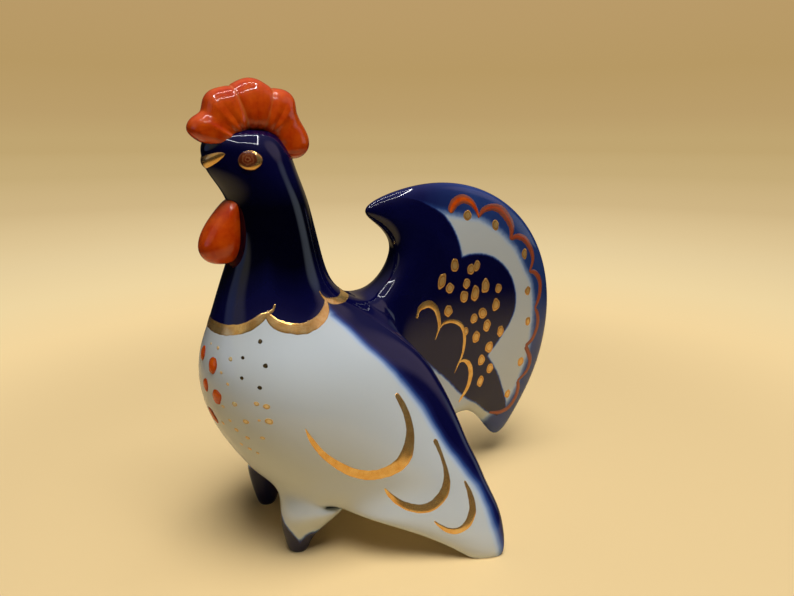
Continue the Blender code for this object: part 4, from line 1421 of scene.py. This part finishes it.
class RoosterSizes(PropertyGroup):
    """How smooth the bird is, and the heights of its paint."""

    smoothing: IntProperty(
        name="Smoothing", description="How many times the cages are smoothed",
        default=4, min=2, max=5,
    )
    gilt_rise: height_property(
        "Gilding thickness", "How far gilding stands off the glaze", 0.07, 0.01, 0.5
    )
    line_rise: height_property(
        "Line thickness", "How far the tail's orange line stands off the glaze", 0.1, 0.01, 0.5
    )
    drop_rise: height_property(
        "Drop height", "How far the breast's enamel drops stand off the glaze", 0.45, 0.05, 1.5
    )
    eye_rise: height_property(
        "Eye height", "How far the gilt of an eye stands off the head", 0.6, 0.1, 1.5
    )


class RoosterColours(PropertyGroup):
    """Colours of the glaze, enamel and gilding."""

    porcelain: colour_property("Porcelain", "White of the glazed body", "#CDD4D7")
    cobalt: colour_property("Cobalt", "Cobalt where it is thick", "#070738")
    thin_cobalt: colour_property(
        "Thin cobalt", "Cobalt where it is thin, as along the tail's rim", "#2F4A8C"
    )
    enamel: colour_property("Orange enamel", "Enamel of the comb and the wattle", "#E65A0A")
    gilt: colour_property("Gilding", "Gold of the collar, wings, tail, beak and eyes", "#FFD488")
    iris: colour_property("Iris", "Enamel in the middle of each eye", "#7A2C14")


class RoosterStage(PropertyGroup):
    """What the bird is shown on, and its light."""

    card: colour_property("Card", "The sheet that the bird stands on", "#F1D299")
    # The room is a painted reflection: only glossy rays, and light bounced off the far card, see it
    room: colour_property("Room", "The dim room above, as the glaze mirrors it", "#1A1A20")
    light: FloatProperty(
        name="Light", description="How strong the lamps are, as a share of their level here",
        default=1.0, min=0, max=4, subtype="FACTOR",
    )


class ROOSTER_OT_castings(Operator):
    """Builds the body, the neck and head, the tail, the wings and the feet"""

    bl_idname = "rooster.castings"
    bl_label = "Castings"

    def execute(self, context):
        whole = skin()[0]
        owner = whole.faces.layers.int.new("owner")
        for face in whole.faces:
            face[owner] = CASTINGS.index(casting_of(face.calc_center_median() / MM))
        fields = {"brushed": brushed_depth, "sprayed": sprayed_depth, "rim": rim_depth}
        for number, name in enumerate(CASTINGS):
            bm = whole.copy()
            layer = bm.faces.layers.int["owner"]
            others = [f for f in bm.faces if f[layer] != number]
            bmesh.ops.delete(bm, geom=others, context="FACES")
            slot = "porcelain" if name in WHITE_CASTINGS else "cobalt_glaze"
            mesh = place_piece("glazed_" + name, bm, slot, ("porcelain", "biscuit"), name).data
            places = points_of(mesh)
            for field, depth in fields.items():
                layer = mesh.attributes.new(field, "FLOAT", "POINT")
                layer.data.foreach_set("value", depth(places).astype(np.float32))
            keep_glaze_unbroken(mesh)
        return {"FINISHED"}


class ROOSTER_OT_comb(Operator):
    """Builds the five-lobed comb"""

    bl_idname = "rooster.comb"
    bl_label = "Comb"

    def execute(self, context):
        bm = smoothed(comb_cage(), context.scene.rooster_sizes.smoothing)
        edge = edge_layer(bm)
        bm.normal_update()
        for corner in bm.verts:
            off, clear = comb_groove(corner.co)
            line = math.exp(-(off / COMB_GROOVE_HALF) ** 2) * clear
            corner[edge] = line
            full = COMB_FILL * math.exp(-(off / COMB_FILL_HALF) ** 2) * corner.normal.x
            corner.co.x += full * MM
            corner.co -= corner.normal * line * COMB_GROOVE_DEPTH
        place_piece("enamelled_comb", bm, "orange_enamel", ("orange",), "comb")
        return {"FINISHED"}


class ROOSTER_OT_wattle(Operator):
    """Builds the wattle under the beak"""

    bl_idname = "rooster.wattle"
    bl_label = "Wattle"

    def execute(self, context):
        bm = smoothed(wattle_cage(), context.scene.rooster_sizes.smoothing)
        place_piece("enamelled_wattle", bm, "orange_enamel", ("orange",), "wattle")
        return {"FINISHED"}


class ROOSTER_OT_beak(Operator):
    """Builds the gilded beak"""

    bl_idname = "rooster.beak"
    bl_label = "Beak"

    def execute(self, context):
        bm = smoothed(beak_cage(), context.scene.rooster_sizes.smoothing)
        place_piece("gilded_beak", bm, "gilt", ("gilt",), "beak")
        return {"FINISHED"}


class ROOSTER_OT_eyes(Operator):
    """Builds the gilt eyes with their enamel irises"""

    bl_idname = "rooster.eyes"
    bl_label = "Eyes"

    def execute(self, context):
        rise = context.scene.rooster_sizes.eye_rise
        for side, sign in SIDES:
            bm = bmesh.new()
            finely = {"ray": seen_from_side(sign), "seed": sign, "rounds": 4, "waver": EYE_WAVER}
            lay_dab(bm, EYE_CENTRE, EYE_REACH, EYE_TILT, rise=rise, point=EYE_POINT, **finely)
            gilt = set(bm.faces)
            lift = rise * IRIS_LIFT
            lay_dab(bm, IRIS_CENTRE, IRIS_REACH, 0, rise=IRIS_RISE, lift=lift, **finely)
            second_finish(bm, gilt)
            place_piece(f"gilded_{side}_eye", bm, "gilt", ("gilt", "iris"), side + "_eye")
        return {"FINISHED"}


class ROOSTER_OT_collar(Operator):
    """Lays the gold scallops round the neck"""

    bl_idname = "rooster.collar"
    bl_label = "Collar gilding"

    def execute(self, context):
        rise = context.scene.rooster_sizes.gilt_rise
        bm = bmesh.new()
        front = [(-u, v, half) for u, v, half in COLLAR_FRONT[:0:-1]] + list(COLLAR_FRONT)
        back = list(COLLAR_BACK) + [(360 - u, v, half) for u, v, half in COLLAR_BACK[-2::-1]]
        lay_stroke(bm, arc(front), seen_round(1), rise, seed=1.0)
        lay_stroke(bm, arc(back), seen_round(1), rise, seed=2.0)
        rise *= COLLAR_OVERLAP
        for _, sign in SIDES:
            lay_stroke(bm, arc(COLLAR_SIDE), seen_round(sign), rise, seed=3.0 + sign)
        place_piece("collar_gilding", bm, "gilt", ("gilt",))
        return {"FINISHED"}


class ROOSTER_OT_wing_gilding(Operator):
    """Lays three gold crescents on each wing"""

    bl_idname = "rooster.wing_gilding"
    bl_label = "Wing gilding"

    def execute(self, context):
        rise = context.scene.rooster_sizes.gilt_rise
        for side, sign in SIDES:
            bm = bmesh.new()
            for number, crescent in enumerate(WING_CRESCENTS):
                lay_stroke(bm, crescent, seen_from_side(sign), rise, seed=number * 4.7 + sign)
            place_piece(side + "_wing_gilding", bm, "gilt", ("gilt",))
        return {"FINISHED"}


class ROOSTER_OT_tail_gilding(Operator):
    """Lays the gold scallops and dots on both sides of the tail"""

    bl_idname = "rooster.tail_gilding"
    bl_label = "Tail gilding"

    def execute(self, context):
        rise = context.scene.rooster_sizes.gilt_rise
        for side, sign in SIDES:
            bm = bmesh.new()
            ray = seen_from_side(sign)
            for number, scallop in enumerate(TAIL_SCALLOPS):
                lay_stroke(bm, scallop, ray, rise, seed=number * 3.1 + sign)
            strokes = set(bm.faces)
            for number, (u, v, reach_u, reach_v, tilt) in enumerate(RIM_DOTS + FIELD_DOTS):
                reach = (reach_u * DOT_SPREAD, reach_v * DOT_SPREAD)
                lay_dab(bm, (u, v), reach, tilt, ray, rise * DOT_RISE, seed=number * 1.7 + sign)
            second_finish(bm, strokes)
            place_piece(side + "_tail_gilding", bm, "gilt", ("gilt", "dots"))
        return {"FINISHED"}


class ROOSTER_OT_tail_line(Operator):
    """Lays the scalloped orange line along the tail's rim"""

    bl_idname = "rooster.tail_line"
    bl_label = "Tail line"

    def execute(self, context):
        rise = context.scene.rooster_sizes.line_rise
        for side, sign in SIDES:
            bm = bmesh.new()
            for number, scallop in enumerate(TAIL_ORANGE):
                # The brush was full only for the first scallop
                thin = LINE_THIN if number else 0.0
                seed = number * 2.3 + sign
                lay_stroke(bm, scallop, seen_from_side(sign), rise, seed, thin)
            place_piece(side + "_tail_line", bm, "orange_enamel", ("line",))
        return {"FINISHED"}


class ROOSTER_OT_breast(Operator):
    """Lays the orange drops and the gold specks on the breast"""

    bl_idname = "rooster.breast"
    bl_label = "Breast drops and specks"

    def execute(self, context):
        sizes = context.scene.rooster_sizes
        bm = bmesh.new()
        for number, (turn, v, reach_u, reach_v, tilt) in enumerate(BREAST_DROPS):
            centre = arc([(turn, v)])[0]
            reach = (reach_u, reach_v)
            seed = number * 1.9
            lay_dab(bm, centre, reach, tilt, seen_round(1), sizes.drop_rise, seed, rounds=4)
        place_piece("breast_drops", bm, "orange_enamel", ("drops",))
        for name, specks, finish in (
            ("breast_specks", BREAST_SPECKS, "specks"),
            ("breast_gilding", BREAST_GOLD_SPECKS, "faint"),
        ):
            bm = bmesh.new()
            for _, sign in SIDES:
                ray = seen_round(sign)
                for number, (turn, v, size) in enumerate(specks):
                    centre = arc([(turn, v)])[0]
                    reach = (size, size * SPECK_LENGTH)
                    seed = number * 1.3 + sign
                    lay_dab(bm, centre, reach, SPECK_TILT, ray, sizes.gilt_rise, seed, rounds=2)
            place_piece(name, bm, "gilt", (finish,))
        return {"FINISHED"}


class ROOSTER_OT_stage(Operator):
    """Sets out the card, the lamps and the camera"""

    bl_idname = "rooster.stage"
    bl_label = "Stage"

    def execute(self, context):
        lay_card(context.scene)
        context.scene.world = studio()
        hang_lamps(context.scene)
        set_up_camera(context.scene)
        context.scene.view_settings.view_transform = "Standard"
        return {"FINISHED"}


class ROOSTER_PT_panel(Panel):
    """Lists the bird's settings and its building steps"""

    bl_idname = "ROOSTER_PT_panel"
    bl_label = "Porcelain rooster"
    bl_space_type = "VIEW_3D"
    bl_region_type = "UI"
    bl_category = "Rooster"

    def draw(self, context):
        scene = context.scene
        for group in (scene.rooster_sizes, scene.rooster_colours, scene.rooster_stage):
            box = self.layout.box()
            for name in group.__annotations__:
                box.prop(group, name)
        for step in STEPS:
            self.layout.operator(step.bl_idname)


STEPS = (
    ROOSTER_OT_stage, ROOSTER_OT_castings, ROOSTER_OT_comb, ROOSTER_OT_wattle, ROOSTER_OT_beak,
    ROOSTER_OT_eyes, ROOSTER_OT_collar, ROOSTER_OT_wing_gilding, ROOSTER_OT_tail_gilding,
    ROOSTER_OT_tail_line, ROOSTER_OT_breast,
)
GROUPS = {
    "rooster_sizes": RoosterSizes, "rooster_colours": RoosterColours, "rooster_stage": RoosterStage,
}


def register():
    for group in (*GROUPS.values(), *STEPS, ROOSTER_PT_panel):
        bpy.utils.register_class(group)
    for name, group in GROUPS.items():
        setattr(bpy.types.Scene, name, PointerProperty(type=group))


def unregister():
    for name in GROUPS:
        delattr(bpy.types.Scene, name)
    for group in reversed((*GROUPS.values(), *STEPS, ROOSTER_PT_panel)):
        bpy.utils.unregister_class(group)


def main():
    register()
    for step in STEPS:
        group, name = step.bl_idname.split(".")
        getattr(getattr(bpy.ops, group), name)()


if __name__ == "__main__":
    main()
